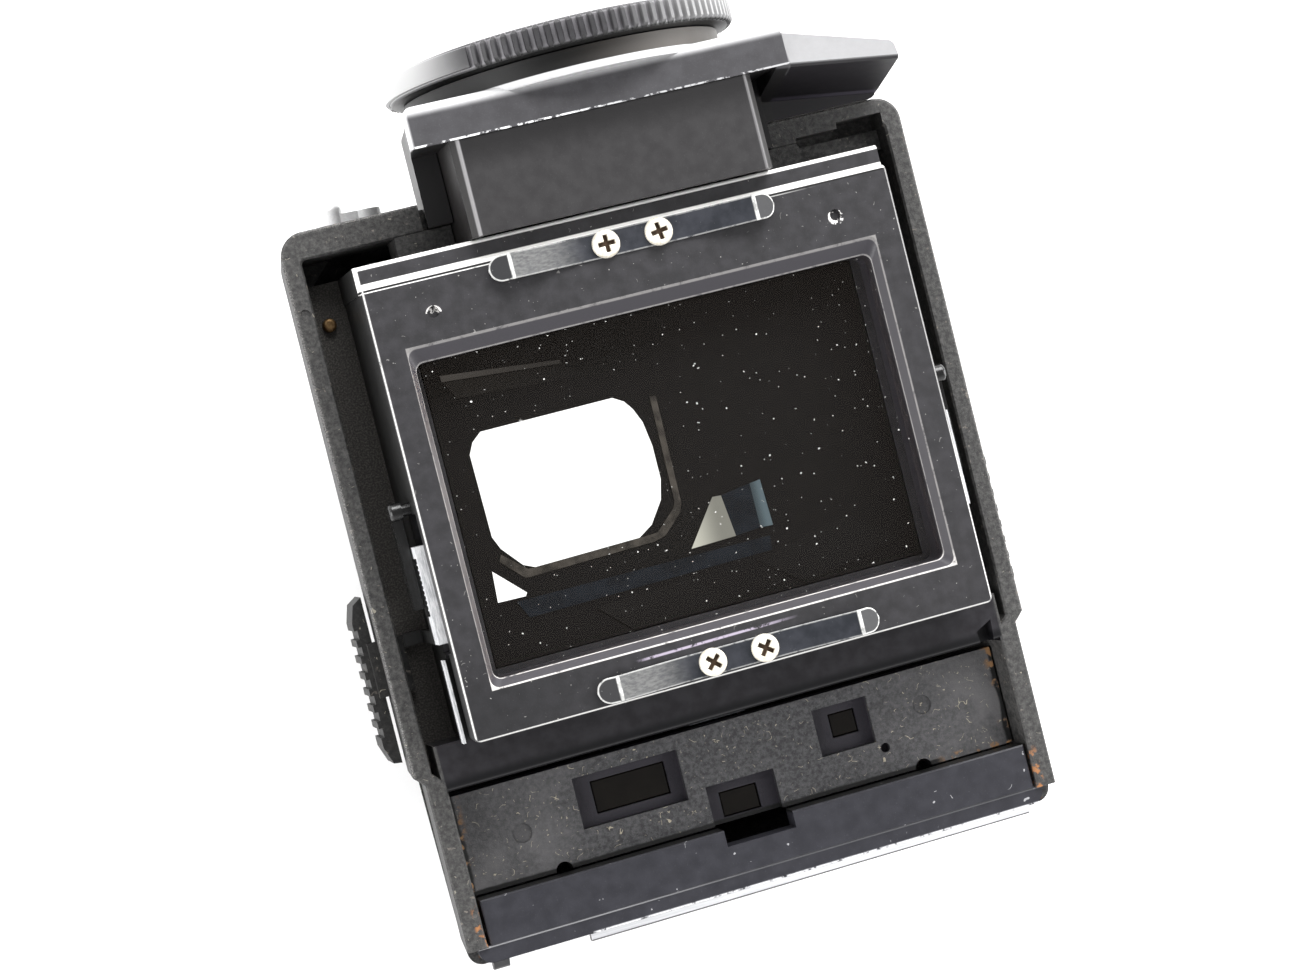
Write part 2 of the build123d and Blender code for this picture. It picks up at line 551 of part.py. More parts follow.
# ---- the assembly ------------------------------------------------------------------------------------
nodes = {
    "casing": [make_casing()],
    "nameplate": [make_nameplate()],
    "front_trim": [make_trim(x0, x1) for x0, x1 in trim_spans],
    "cover_screws": [cover_screw(x) for x in (-cover_screw_x, cover_screw_x)],
    "front_panel": [make_panel()],
    "front_apron": [make_apron()],
    "screen_frame": [make_screen_frame()],
    "base_lens": [make_base_lens()],
    "lens_mask": [make_lens_mask()],
    "pentaprism": [make_prism()],
    "prism_clamp": [make_clamp()],
    "clamp_screws": [clamp_screw(x) for x in (-clamp_screw_x, clamp_screw_x)],
    "prism_pads": [prism_pad(-10.0, -5.0), prism_pad(1.0, 6.0)],
    "contact_pins": [contact_pin(x, y) for x, y in contact_places],
    "eyepiece_housing": [make_housing()],
    "light_tunnel": [make_tunnel()],
    "eyepiece_mask": [make_eyepiece_mask()],
    "eyepiece_lens_front": [lens_blank(27.9, 29.3, 60.0, -1)],
    "eyepiece_lens_rear": [lens_blank(29.35, 30.1, 80.0, 1)],
    "lens_retainer": [make_retainer()],
    "eyepiece_glass": [make_eyepiece_glass()],
    "eyepiece_ring": [make_ring()],
    "eyepiece_sleeve": [make_sleeve()],
    "blind_blade_upper": [make_blade(-1)],
    "blind_blade_lower": [make_blade(1)],
    "blind_lever": [make_lever()],
}
for place, (middle, leaf_y) in leaf_places.items():
    nodes[f"{place}_leaf_spring"] = [make_leaf(middle, leaf_y)]
    nodes[f"{place}_leaf_screws"] = [spring_screw(middle + x, leaf_y)
                                     for x in (-spring_screw_x, spring_screw_x)]
for name in windows:
    nodes[f"window_{name}"] = [make_window(name)]
for name, make in (("release_button", make_button), ("latch_slide", make_latch),
                   ("latch_spring", make_latch_spring), ("guide_strip", make_guide),
                   ("stop_pin", make_stop_pin)):
    nodes[f"{name}_left"] = [make()]
    nodes[f"{name}_right"] = [mirrored(make())]

os.makedirs("parts", exist_ok=True)
for name, solids in nodes.items():
    save(name, *solids)
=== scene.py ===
# %% [markdown]
# # Roof-prism viewfinder of a reflex camera
# The finder lies on its roof, underside up, the way it is laid on a bench after it is taken off a
# camera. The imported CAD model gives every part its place. This script gives each part its finish
# and rebuilds in finer detail what the eye dwells on: knurled ring, coil springs, screws, leaves.
# Everything is in metres, in the CAD model's own frame: +Z out of the underside, -Y to the front.

# %% load the fixed frame
import json
from math import cos, pi, radians, sin, sqrt

import bmesh
import bpy
from mathutils import Matrix, Vector


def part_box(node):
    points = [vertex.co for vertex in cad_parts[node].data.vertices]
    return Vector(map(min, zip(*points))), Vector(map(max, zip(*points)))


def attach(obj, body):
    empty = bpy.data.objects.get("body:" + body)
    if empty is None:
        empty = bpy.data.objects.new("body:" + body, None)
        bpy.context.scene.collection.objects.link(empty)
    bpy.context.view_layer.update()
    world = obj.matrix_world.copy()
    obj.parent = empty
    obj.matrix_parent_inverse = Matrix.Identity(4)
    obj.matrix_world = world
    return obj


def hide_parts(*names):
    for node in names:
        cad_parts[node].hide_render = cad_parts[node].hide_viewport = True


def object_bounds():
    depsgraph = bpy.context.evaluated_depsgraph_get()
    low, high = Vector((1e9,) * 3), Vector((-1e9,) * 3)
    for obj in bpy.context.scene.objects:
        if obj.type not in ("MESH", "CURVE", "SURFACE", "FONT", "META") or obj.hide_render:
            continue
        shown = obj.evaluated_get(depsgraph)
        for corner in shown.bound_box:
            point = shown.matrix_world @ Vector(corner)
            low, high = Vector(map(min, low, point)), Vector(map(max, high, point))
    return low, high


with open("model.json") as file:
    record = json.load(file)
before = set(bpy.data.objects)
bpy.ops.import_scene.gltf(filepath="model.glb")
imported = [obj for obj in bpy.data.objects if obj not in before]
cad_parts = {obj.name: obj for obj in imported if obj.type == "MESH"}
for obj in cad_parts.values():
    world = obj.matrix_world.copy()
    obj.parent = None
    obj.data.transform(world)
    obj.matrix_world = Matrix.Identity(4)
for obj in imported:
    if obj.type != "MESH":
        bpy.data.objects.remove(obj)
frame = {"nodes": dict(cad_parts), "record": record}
cad_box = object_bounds()
scene = bpy.context.scene
nodes = frame["nodes"]
mm = 0.001

# %% [markdown]
# ## Camera
# A long lens, a quarter of a metre above the finder and a little to its left. The view leans by a
# few degrees, so the finder looks turned in the frame. A camera looks down its own -Z axis, so its
# matrix is built from three directions: right, up, and the reverse of where it looks.

# %% camera
camera_place = Vector((-52.58, 5.63, 226.65)) * mm
look_along = Vector((0.2184, -0.0315, -0.9754)).normalized()
camera_right = Vector((0.9446, -0.2441, 0.2194))
camera_right = (camera_right - camera_right.dot(look_along) * look_along).normalized()
camera_up = camera_right.cross(look_along)
camera = bpy.data.objects.new("camera", bpy.data.cameras.new("camera"))
scene.collection.objects.link(camera)
turn = Matrix((camera_right, camera_up, -look_along)).transposed()
camera.matrix_world = Matrix.Translation(camera_place) @ turn.to_4x4()
camera.data.lens, camera.data.sensor_width = 80.8, 36.0
camera.data.clip_start, camera.data.clip_end = 0.01, 10.0
scene.camera = camera
print("camera at", [round(c, 4) for c in camera_place])

# %% [markdown]
# ## Bench and light
# A white sheet under the finder, one large soft box above and behind it, a weaker one at the front
# left, and a pale room all round. Black enamel shows little of its own colour: what reads as shape
# is the soft boxes in its gloss, so they are wide and near.

# %% bench and light
floor_z = cad_box[0].z
bench_mesh = bpy.data.meshes.new("bench")
reach = 3.0                                 # half the sheet's width, in metres
bench_mesh.from_pydata([(-reach, -reach, floor_z), (reach, -reach, floor_z),
                        (reach, reach, floor_z), (-reach, reach, floor_z)], [], [(0, 1, 2, 3)])
bench = bpy.data.objects.new("bench", bench_mesh)
scene.collection.objects.link(bench)

horizon_light, ceiling_light = 1.9, 0.42
world = bpy.data.worlds.new("pale_room")
scene.world = world
world.use_nodes = True
room, links = world.node_tree.nodes, world.node_tree.links
direction = room.new("ShaderNodeTexCoord")
split = room.new("ShaderNodeSeparateXYZ")
height = room.new("ShaderNodeMapRange")
walls = {"From Min": 0.25, "From Max": 0.85, "To Min": horizon_light, "To Max": ceiling_light}
for socket, value in walls.items():
    height.inputs[socket].default_value = value
links.new(direction.outputs["Generated"], split.inputs[0])
links.new(split.outputs["Z"], height.inputs["Value"])
links.new(height.outputs[0], room["Background"].inputs["Strength"])
room["Background"].inputs["Color"].default_value = (1, 1, 1, 1)
scene.view_settings.view_transform = "Standard"


def soft_box(name, place, aim, width, height, power):
    """A rectangular area light that faces the point it is aimed at."""
    lamp = bpy.data.lights.new(name, "AREA")
    lamp.shape, lamp.size, lamp.size_y, lamp.energy = "RECTANGLE", width, height, power
    holder = bpy.data.objects.new(name, lamp)
    scene.collection.objects.link(holder)
    holder.location = place
    holder.rotation_euler = (Vector(aim) - Vector(place)).to_track_quat("-Z", "Y").to_euler()
    print(name, power, "W")


soft_box("soft_box_back", (0.16, 0.42, 0.30), (0, 0, 0), 0.5, 0.30, 6.0)
soft_box("soft_box_left", (-0.42, -0.10, 0.22), (0, 0, 0), 0.3, 0.4, 2.0)
soft_box("soft_box_right", (0.48, -0.05, 0.18), (0, 0, 0), 0.3, 0.4, 2.5)

# %% [markdown]
# ## Shader maths as plain expressions
# A material is a graph of nodes. Wiring each sum by hand is slow to read, so a small class wraps a
# socket and turns +, - and * into Math nodes. Numbers alone stay numbers in Python.

# %% the socket class


class Wire:
    """The output of a shader node, with arithmetic on it."""

    def __init__(self, finish, socket):
        self.finish, self.socket = finish, socket

    def maths(self, operation, first, second=None):
        values = [first] if second is None else [first, second]
        return self.finish.node("ShaderNodeMath", {"operation": operation}, dict(enumerate(values)))

    def __add__(self, other): return self.maths("ADD", self, other)
    def __radd__(self, other): return self.maths("ADD", other, self)
    def __sub__(self, other): return self.maths("SUBTRACT", self, other)
    def __rsub__(self, other): return self.maths("SUBTRACT", other, self)
    def __mul__(self, other): return self.maths("MULTIPLY", self, other)
    def __rmul__(self, other): return self.maths("MULTIPLY", other, self)
    def __abs__(self): return self.maths("ABSOLUTE", self)

    def least(self, other): return self.maths("MINIMUM", self, other)
    def most(self, other): return self.maths("MAXIMUM", self, other)

    def ramp(self, low, high):
        """0 below low, 1 above high, smooth between; low above high turns it round."""
        flip = low > high
        low, high = min(low, high), max(low, high)
        out = self.finish.node("ShaderNodeMapRange", {"interpolation_type": "SMOOTHSTEP"},
                               {"Value": self, "From Min": low, "From Max": high})
        return 1.0 - out if flip else out


class Finish:
    """A material under construction, around one Principled shader."""

    def __init__(self, name):
        self.material = bpy.data.materials.new(name)
        self.material.use_nodes = True
        self.tree = self.material.node_tree
        self.shader = self.tree.nodes["Principled BSDF"]
        self.place = Wire(self, self.tree.nodes.new("ShaderNodeTexCoord").outputs["Object"])

    def node(self, kind, settings=None, values=None, output=0):
        made = self.tree.nodes.new(kind)
        for key, value in (settings or {}).items():
            setattr(made, key, value)
        for key, value in (values or {}).items():
            self.feed(made.inputs[key], value)
        return Wire(self, made.outputs[output])

    def feed(self, socket, value):
        if isinstance(value, Wire):
            self.tree.links.new(value.socket, socket)
        elif isinstance(value, (tuple, list)) and len(value) == 3 and socket.type == "RGBA":
            socket.default_value = (*value, 1.0)
        else:
            socket.default_value = value

    def square_root(self, wire):
        return wire.maths("SQRT", wire)

    def axes(self, centre=(0, 0, 0)):
        """The x, y and z of the surface point in mm, from a centre in mm."""
        moved = self.node("ShaderNodeMapping", {}, {"Vector": self.place,
                          "Location": tuple(-c for c in centre), "Scale": (1000, 1000, 1000)})
        made = self.tree.nodes.new("ShaderNodeSeparateXYZ")
        self.feed(made.inputs[0], moved)
        return [Wire(self, made.outputs[i]) for i in range(3)]

    def stretched(self, scale, turn=(0, 0, 0)):
        """Object coordinates in mm, scaled along each axis, for grain and brushing."""
        return self.node("ShaderNodeMapping", {}, {"Vector": self.place, "Rotation": turn,
                         "Scale": tuple(1000 * s for s in scale)})

    def noise(self, per_mm, detail=3.0, rough=0.55, where=None):
        return self.node("ShaderNodeTexNoise", {"noise_dimensions": "3D"},
                         {"Vector": where or self.stretched((1, 1, 1)), "Scale": per_mm,
                          "Detail": detail, "Roughness": rough})

    def mix(self, mask, below, above):
        """The colour below where the mask is 0, above where it is 1."""
        made = self.tree.nodes.new("ShaderNodeMix")
        made.data_type = "RGBA"
        self.feed(made.inputs[0], mask)
        self.feed(made.inputs[6], below)
        self.feed(made.inputs[7], above)
        return Wire(self, made.outputs[2])

    def relief(self, height, depth_mm, strength=1.0, under=None):
        values = {"Height": height, "Distance": depth_mm * mm, "Strength": strength}
        if under is not None:
            values["Normal"] = under
        return self.node("ShaderNodeBump", {}, values)

    def set(self, **sockets):
        """Feeds the Principled shader's sockets by their names, with _ for a space."""
        for name, value in sockets.items():
            self.feed(self.shader.inputs[name.replace("_", " ")], value)
        return self.material

# %% [markdown]
# ## Cast black
# The casing is cast alloy under a thick, grainy black paint. The grain is fine and hard, with pale
# dust caught in it, chips along the rim's outer edge, and rust where the walls meet the front lip.
# The cross rib in front of the screen frame belongs to the same casting, but it is machined smooth.


# %% cast black
def curls(f, per_mm, share):
    """Short curly hairs: thin contour lines of one noise, kept in few places by another."""
    line = abs(f.noise(per_mm, 1.0, 0.4) - 0.5).ramp(0.011, 0.004)
    return line * f.noise(per_mm * 1.7, 1.0, 0.4).ramp(share, share + 0.03)


def cast_black(name, tone=0.05, grain=0.07):
    f = Finish(name)
    x, y, z = f.axes()
    grit, fine, patch = f.noise(2.4, 5.0, 0.75), f.noise(8.0, 3.0, 0.7), f.noise(0.8, 3.0)
    colour = f.mix(grit.ramp(0.34, 0.7), (tone * 0.35,) * 3, (tone * 1.3, tone * 1.26, tone * 1.22))
    colour = f.mix(fine.ramp(0.6, 0.72) * 0.45, colour, (tone * 2.6, tone * 2.5, tone * 2.4))
    chips = f.noise(1.7, 3.0, 0.6).ramp(0.63, 0.67) * 0.35
    colour = f.mix(chips * patch.ramp(0.45, 0.6), colour, (0.30, 0.26, 0.22))
    outer = ((abs(x) - 25.45).most(y - 23.95)).ramp(0.1, 0.4) * z.ramp(-0.4, -0.1)
    colour = f.mix(outer * fine.ramp(0.45, 0.6) * 0.35, colour, (0.34, 0.33, 0.32))
    colour = f.mix(curls(f, 0.9, 0.66) * 0.5, colour, (0.4, 0.37, 0.3))
    walls = abs(abs(x) - 23.75).ramp(0.5, 0.2) * y.ramp(-29.6, -31.0)
    colour = f.mix(walls * f.noise(1.4, 4.0).ramp(0.5, 0.6) * 0.8, colour, (0.32, 0.13, 0.04))
    rib = y.ramp(-20.95, -20.9) * y.ramp(-16.9, -17.0) * abs(x).ramp(23.7, 23.5)
    rib = rib * z.ramp(-3.9, -3.8)
    smooth = f.mix(patch.ramp(0.3, 0.7), (0.012, 0.011, 0.013), (0.022, 0.021, 0.024))
    colour = f.mix(rib, colour, f.mix(y.ramp(-19.6, -20.3), smooth, (0.004, 0.004, 0.005)))
    relief = f.relief((grit * 0.8 + fine * 0.35) * (1.0 - rib), grain, 0.9)
    return f.set(Base_Color=colour, Roughness=0.62 - 0.32 * rib, Normal=relief,
                 Specular_IOR_Level=0.35)


# %% [markdown]
# ## Semi-gloss enamel
# The machined parts carry a thin, smooth enamel with a soft gloss. On the corners it is worn down
# to bright metal. The mask for that is worked out from the part's own box: the distance to the
# nearest two faces of the box is small only along its edges, and noise breaks the line up.


# %% semi-gloss enamel
def edge_mask(f, lo, hi, width):
    """1 along the edges of a box given in mm, where two of its faces meet, else 0."""
    gaps = [((wire - low).least(high - wire)).most(0.0)
            for wire, low, high in zip(f.axes(), lo, hi)]
    first, second, third = gaps
    nearest = first.most(second).least(first.most(third)).least(second.most(third))
    return nearest.ramp(width, width * 0.35)


def thin_line(wire, at, width):
    """1 where the wire passes a value, 0 further than the width from it."""
    return abs(wire - at).ramp(width, width * 0.35)


def enamel(name, tone=0.02, gloss=0.36):
    f = Finish(name)
    tint = (1, 1, 1.04)
    cloud, fine = f.noise(1.1, 4.0, 0.6), f.noise(7.0, 2.0)
    colour = f.mix(cloud.ramp(0.3, 0.7), tuple(tone * 0.85 * t for t in tint),
                   tuple(tone * 1.15 * t for t in tint))
    colour = f.mix(f.noise(6.0, 1.0, 0.5).ramp(0.75, 0.8) * 0.3, colour, (0.35, 0.34, 0.33))
    return f.set(Base_Color=colour, Roughness=gloss + 0.1 * cloud, Specular_IOR_Level=0.4,
                 Normal=f.relief(fine * 0.4 + cloud * 0.6, 0.015, 0.5))


# %% [markdown]
# ## Screen frame: enamel worn to metal
# The proud frame round the screen slides against the camera every time the finder is changed, so
# its outer edges are worn bright all along. Bright bands along its rear edge and on the ledge behind
# it are painted highlights. Where these lines run is a rule, not a shape: each is a band at one x, y
# or z, and noise breaks it up. The flanks are painted dark as painted shade, the floor of the gap
# round the frame is dull and dusty, and the slopes down to the lens have a fine painted highlight at
# each edge, brighter at the front.

# %% screen frame finish
frame_low, frame_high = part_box("screen_frame")
block_low, block_high = (-21.4, -17.0, -4.0), (21.4, 18.7, frame_high[2] / mm)
opening_half_w, opening_half_d, slope_foot = 19.2, 13.4, 5.9


def frame_enamel(name):
    f = Finish(name)
    x, y, z = f.axes()
    cloud, fine, breakup = f.noise(0.9, 4.0), f.noise(7.0, 3.0, 0.7), f.noise(0.9, 5.0, 0.7)
    colour = f.mix(cloud.ramp(0.3, 0.75), (0.017, 0.0165, 0.018), (0.026, 0.025, 0.028))
    colour = f.mix(y.ramp(-9.0, -15.0) * x.ramp(-6.0, -20.0) * 0.6, colour, (0.008, 0.008, 0.009))
    colour = f.mix(fine.ramp(0.6, 0.75) * 0.25, colour, (0.08, 0.078, 0.08))
    specks = f.noise(4.5, 1.0, 0.5).ramp(0.755, 0.79).most(curls(f, 0.8, 0.7) * 0.6)
    colour = f.mix(specks * 0.5, colour, (0.45, 0.44, 0.42))
    # the slopes of the opening
    inside = (abs(x) - opening_half_w).most(abs(y) - opening_half_d).ramp(0.04, -0.02)
    slope = inside * z.ramp(block_high[2], block_high[2] - 0.04) * z.ramp(2.6, 2.8)
    colour = f.mix(slope, colour, (0.030, 0.028, 0.034))
    # painted highlights: a fine light line at the top and at the foot of each slope, brighter at the
    # front
    top_line = inside * z.ramp(block_high[2] - 0.15, block_high[2] - 0.09)
    foot_line = inside * thin_line(z, slope_foot, 0.09)
    front = y.ramp(-12.0, -12.6)
    slope_sheen = (top_line * (0.35 + 0.65 * front)).most(foot_line * (0.4 + 0.6 * front))
    colour = f.mix(slope_sheen * breakup.ramp(0.3, 0.5) * 0.75, colour, (0.62, 0.60, 0.58))
    # painted shade on the flanks, and the dusty floor of the gap
    flank_shade = ((abs(x) - 21.3).most(-16.9 - y)).ramp(0.0, 0.08) * z.ramp(6.4, 6.2)
    colour = f.mix(flank_shade, colour, (0.005, 0.005, 0.005))
    floor = z.ramp(-3.85, -3.95)
    dusty = f.mix(fine.ramp(0.4, 0.7), (0.022, 0.020, 0.018), (0.085, 0.079, 0.072))
    colour = f.mix(floor, colour, dusty)
    # bright worn edges, and painted highlights on the rear edge and the ledge
    outer = edge_mask(f, block_low, block_high, 0.2)
    sides = x.ramp(-21.0, -21.1).most(y.ramp(-16.6, -16.7))
    sides = sides.most(x.ramp(21.0, 21.1) * (0.35 + 0.65 * y.ramp(0.0, -8.0)))
    wear_and_sheen = outer * sides * breakup.ramp(0.28, 0.4)
    # painted highlights: a band on the rear edge, a thin line in front of it, and a line on the ledge
    rear = y.ramp(18.38, 18.46) * y.ramp(18.95, 18.86) * breakup.ramp(0.2, 0.32)
    thin_rear_sheen = thin_line(y, 18.2, 0.06) * x.ramp(16.0, 8.0) * breakup.ramp(0.36, 0.46) * 0.8
    ledge_sheen = y.ramp(19.95, 20.05) * z.ramp(5.6, 5.8) * breakup.ramp(0.22, 0.36)
    wear_and_sheen = (wear_and_sheen.most(rear).most(ledge_sheen).most(thin_rear_sheen)) * z.ramp(5.2, 5.6)
    colour = f.mix(thin_line(y, 18.32, 0.06) * z.ramp(6.5, 6.6), colour, (0.003, 0.003, 0.003))
    colour = f.mix(wear_and_sheen, colour, (0.84, 0.83, 0.81))
    # scratch in front of the opening, and glints in the two dowel marks
    scratch = thin_line(y - 0.012 * x, -14.05, 0.14) * x.ramp(-8.0, -6.5) * x.ramp(6.0, 2.0)
    colour = f.mix(scratch * breakup.ramp(0.4, 0.5), colour, (0.33, 0.29, 0.36))
    mark = (((abs(x) - 16.4) * (abs(x) - 16.4) + (y - 15.5) * (y - 15.5)) - 0.3).ramp(0.16, 0.02)
    colour = f.mix(mark * breakup.ramp(0.5, 0.56) * 0.9, colour, (0.8, 0.78, 0.76))
    return f.set(Base_Color=colour, Roughness=0.36 + 0.12 * cloud + 0.3 * floor,
                 Normal=f.relief(fine * 0.5 + cloud * 0.5, 0.02, 0.5), Specular_IOR_Level=0.4)


# %% [markdown]
# ## Eyepiece housing and light duct
# The housing's plate has a painted highlight along its rear edge, which fades from white into the
# black, and another on its left end. Its front edge has a thin chipped line, and its walls below the
# top are painted darker as painted shade. The wing's upper facet is painted pale as a painted
# reflection, and the wall below it is painted dark as painted shade. Behind the plate the collar
# carries the ring's painted shade, lighter to the right. The duct is plain enamel, with painted
# shadow where it runs under the plate, painted shade on its sides, and a painted highlight along each
# of its bevels.


# %% housing and duct finishes
def housing_enamel(name):
    f = Finish(name)
    x, y, z = f.axes()
    cloud, fine, breakup = f.noise(0.8, 4.0), f.noise(7.0, 3.0, 0.7), f.noise(1.3, 5.0, 0.7)
    colour = f.mix(cloud.ramp(0.3, 0.7), (0.034, 0.033, 0.036), (0.044, 0.043, 0.047))
    colour = f.mix(fine.ramp(0.58, 0.7) * 0.3, colour, (0.10, 0.10, 0.105))
    # painted shade: the walls below the plate's top are darker
    below = z.ramp(7.6, 7.3)
    colour = f.mix(below, colour, (0.009, 0.0085, 0.009))
    # painted reflection: the wing's upper facet is pale
    wing = x.ramp(15.3, 15.5) * y.ramp(31.2, 31.1)
    facet_sheen = wing * z.ramp(5.9, 6.2)
    colour = f.mix(facet_sheen * (1.0 - 0.25 * breakup), colour, (0.21, 0.21, 0.215))
    # painted shade: the wall below the facet is dark, with a faint lighter band
    wall = wing * (y + 0.136 * (x - 15.4)).ramp(27.9, 27.75)
    colour = f.mix(wall, colour, (0.008, 0.007, 0.009))
    colour = f.mix(wall * thin_line(z, 0.75, 0.5), colour, (0.05, 0.045, 0.06))
    # painted highlight along the plate's rear edge, fading from white into the black
    rear = y.ramp(30.05, 30.95) * z.ramp(5.0, 6.5) * x.ramp(15.6, 15.2)
    colour = f.mix(rear * (0.55 + 0.3 * breakup), colour, (0.80, 0.80, 0.81))
    # painted highlight on the plate's left end; the thin broken line on the front edge is chipped
    # paint
    end = x.ramp(-14.85, -15.2) * z.ramp(5.5, 6.5) * y.ramp(31.1, 31.0)
    chipped = thin_line(y, 27.9, 0.12) * z.ramp(7.85, 7.95) * breakup.ramp(0.46, 0.54)
    pale = (end * 0.75).most(chipped * (0.4 + 0.6 * x.ramp(4.0, -6.0)))
    colour = f.mix(pale * x.ramp(15.5, 15.3), colour, (0.85, 0.85, 0.86))
    # painted shade of the ring on the collar, lighter to the right
    collar = y.ramp(31.12, 31.2)
    shade = f.mix(x.ramp(-4.0, 9.0), (0.002, 0.002, 0.002), (0.07, 0.062, 0.055))
    colour = f.mix(collar, colour, shade)
    return f.set(Base_Color=colour, Roughness=0.42 + 0.1 * cloud,
                 Normal=f.relief(fine * 0.5 + cloud * 0.5, 0.02, 0.5), Specular_IOR_Level=0.35)


def duct_enamel(name):
    f = Finish(name)
    x, y, z = f.axes()
    cloud, fine = f.noise(0.9, 4.0), f.noise(7.0, 3.0, 0.7)
    colour = f.mix(cloud.ramp(0.3, 0.7), (0.019, 0.018, 0.019), (0.026, 0.025, 0.026))
    colour = f.mix(fine.ramp(0.6, 0.72) * 0.25, colour, (0.07, 0.07, 0.07))
    # painted shadow where the duct runs under the plate
    colour = f.mix(y.ramp(24.6, 27.4) * 0.9, colour, (0.006, 0.0055, 0.006))
    # painted shade on the duct's sides
    colour = f.mix(abs(x).ramp(11.65, 11.8), colour, (0.008, 0.007, 0.007))
    # painted highlight along each bevel, brighter to the left
    bevel = thin_line(abs(x), 11.62, 0.2) * z.ramp(7.4, 7.6) * (0.55 + 0.45 * x.ramp(0.0, -8.0))
    colour = f.mix(bevel * 0.8, colour, (0.24, 0.235, 0.24))
    return f.set(Base_Color=colour, Roughness=0.45, Specular_IOR_Level=0.3,
                 Normal=f.relief(fine * 0.5 + cloud * 0.5, 0.02, 0.5))


# %% [markdown]
# ## The other finishes
# Each of them is one short function: fine grain and painted shade in the window recesses for the
# panel, brushing for steel, gloss for the lip, a painted reflection on the pale trim, and tarnish
# for brass.


# %% panel, lip, steel and brass
def panel_grain(name):
    f = Finish(name)
    x, y, z = f.axes()
    grit, fine, patch = f.noise(2.6, 5.0, 0.75), f.noise(8.0, 3.0, 0.7), f.noise(0.22, 3.0)
    colour = f.mix(grit.ramp(0.35, 0.68), (0.026, 0.026, 0.028), (0.075, 0.074, 0.077))
    colour = f.mix(fine.ramp(0.58, 0.7) * 0.35, colour, (0.16, 0.155, 0.155))
    edges = x.ramp(8.0, 21.0).most(x.ramp(-9.0, -21.0))
    colour = f.mix(edges * (0.25 + 0.5 * patch.ramp(0.4, 0.7)), colour, (0.12, 0.117, 0.12))
    dust = curls(f, 1.1, 0.60).most(f.noise(3.5, 2.0).ramp(0.69, 0.73) * patch.ramp(0.4, 0.6))
    colour = f.mix(dust * 0.6, colour, (0.5, 0.45, 0.33))
    # painted shade: the window recesses are darker, and a painted shade line runs along their edge
    recess = z.ramp(-3.3, -3.5)
    colour = f.mix(recess, colour, (0.020, 0.018, 0.024))
    edge = thin_line(z, -3.3, 0.25) * 0.5
    colour = f.mix(edge, colour, (0.006, 0.006, 0.007))
    glue = y.ramp(-29.0, -29.3) * x.ramp(16.0, 18.5)
    ends = glue.most(abs(x).ramp(22.3, 23.1)) * f.noise(1.1, 4.0).ramp(0.5, 0.6)
    colour = f.mix(ends * 0.75, colour, (0.30, 0.15, 0.05))
    gap = (y + 0.2 * f.noise(0.5, 3.0)).ramp(-29.05, -29.25) * x.ramp(17.5, 16.5)
    side = (abs(x) - 0.7 * f.noise(0.45, 3.0)).ramp(22.45, 22.7) * (1.0 - ends)
    colour = f.mix(gap.most(side), colour, (0.004, 0.004, 0.004))
    return f.set(Base_Color=colour, Roughness=0.6, Normal=f.relief(grit + fine, 0.05, 0.8),
                 Specular_IOR_Level=0.3)


def smooth_black(name, tone=(0.018, 0.018, 0.022), gloss=0.33, dust=0.2, specular=0.5):
    f = Finish(name)
    cloud, fine = f.noise(0.6, 4.0), f.noise(6.0, 2.0)
    colour = f.mix(cloud.ramp(0.3, 0.75), tuple(0.8 * t for t in tone), tuple(1.3 * t for t in tone))
    colour = f.mix(fine.ramp(0.74, 0.8) * dust, colour, (0.4, 0.4, 0.42))
    return f.set(Base_Color=colour, Roughness=gloss + 0.12 * cloud,
                 Normal=f.relief(fine, 0.01, 0.4), Specular_IOR_Level=specular)


def lip_black(name):
    """The lip's bluish enamel, with a fine pale line where its two strips meet."""
    f = Finish(name)
    x, y, z = f.axes()
    cloud, fine, breakup = f.noise(0.8, 4.0), f.noise(6.0, 3.0, 0.7), f.noise(1.6, 5.0, 0.7)
    colour = f.mix(cloud.ramp(0.3, 0.75), (0.017, 0.017, 0.0215), (0.024, 0.024, 0.030))
    colour = f.mix(fine.ramp(0.6, 0.75) * 0.25, colour, (0.09, 0.09, 0.10))
    colour = f.mix(y.ramp(-29.95, -29.75) * z.ramp(-0.25, -0.4), colour, (0.002, 0.002, 0.002))
    seam = thin_line(y, -33.4, 0.09) * (0.3 + 0.7 * x.ramp(2.0, -16.0))
    front = y.ramp(-34.45, -34.62) * x.ramp(-15.5, -14.5) * breakup.ramp(0.36, 0.5)
    specks = f.noise(1.6, 2.0, 0.4).ramp(0.76, 0.77).most(curls(f, 0.8, 0.72))
    colour = f.mix((seam * 0.35).most(front * 0.85).most(specks * 0.35), colour, (0.75, 0.75, 0.77))
    return f.set(Base_Color=colour, Roughness=0.34 + 0.12 * cloud,
                 Normal=f.relief(fine, 0.01, 0.4), Specular_IOR_Level=0.4)


def trim_reflection(name):
    """Painted reflection: the glossy bevel painted pale as white light mirrored in it, darker to the
    left and dark past its left end, with a dark line where it meets the front face.
    """
    f = Finish(name)
    x, _, z = f.axes()
    streak = f.noise(2.0, 4.0, 0.7, f.stretched((0.12, 2.5, 2.5)))
    colour = f.mix(streak.ramp(0.3, 0.7), (0.50, 0.505, 0.52), (0.66, 0.665, 0.68))
    colour = f.mix(x.ramp(0.0, -15.0) * 0.45, colour, (0.30, 0.30, 0.32))
    colour = f.mix(x.ramp(-16.0, -17.0), colour, (0.02, 0.02, 0.022))
    colour = f.mix(z.ramp(-0.93, -0.99), colour, (0.07, 0.068, 0.07))
    return f.set(Base_Color=colour, Roughness=0.5, Specular_IOR_Level=0.2,
                 Normal=f.relief(streak, 0.01, 0.4))


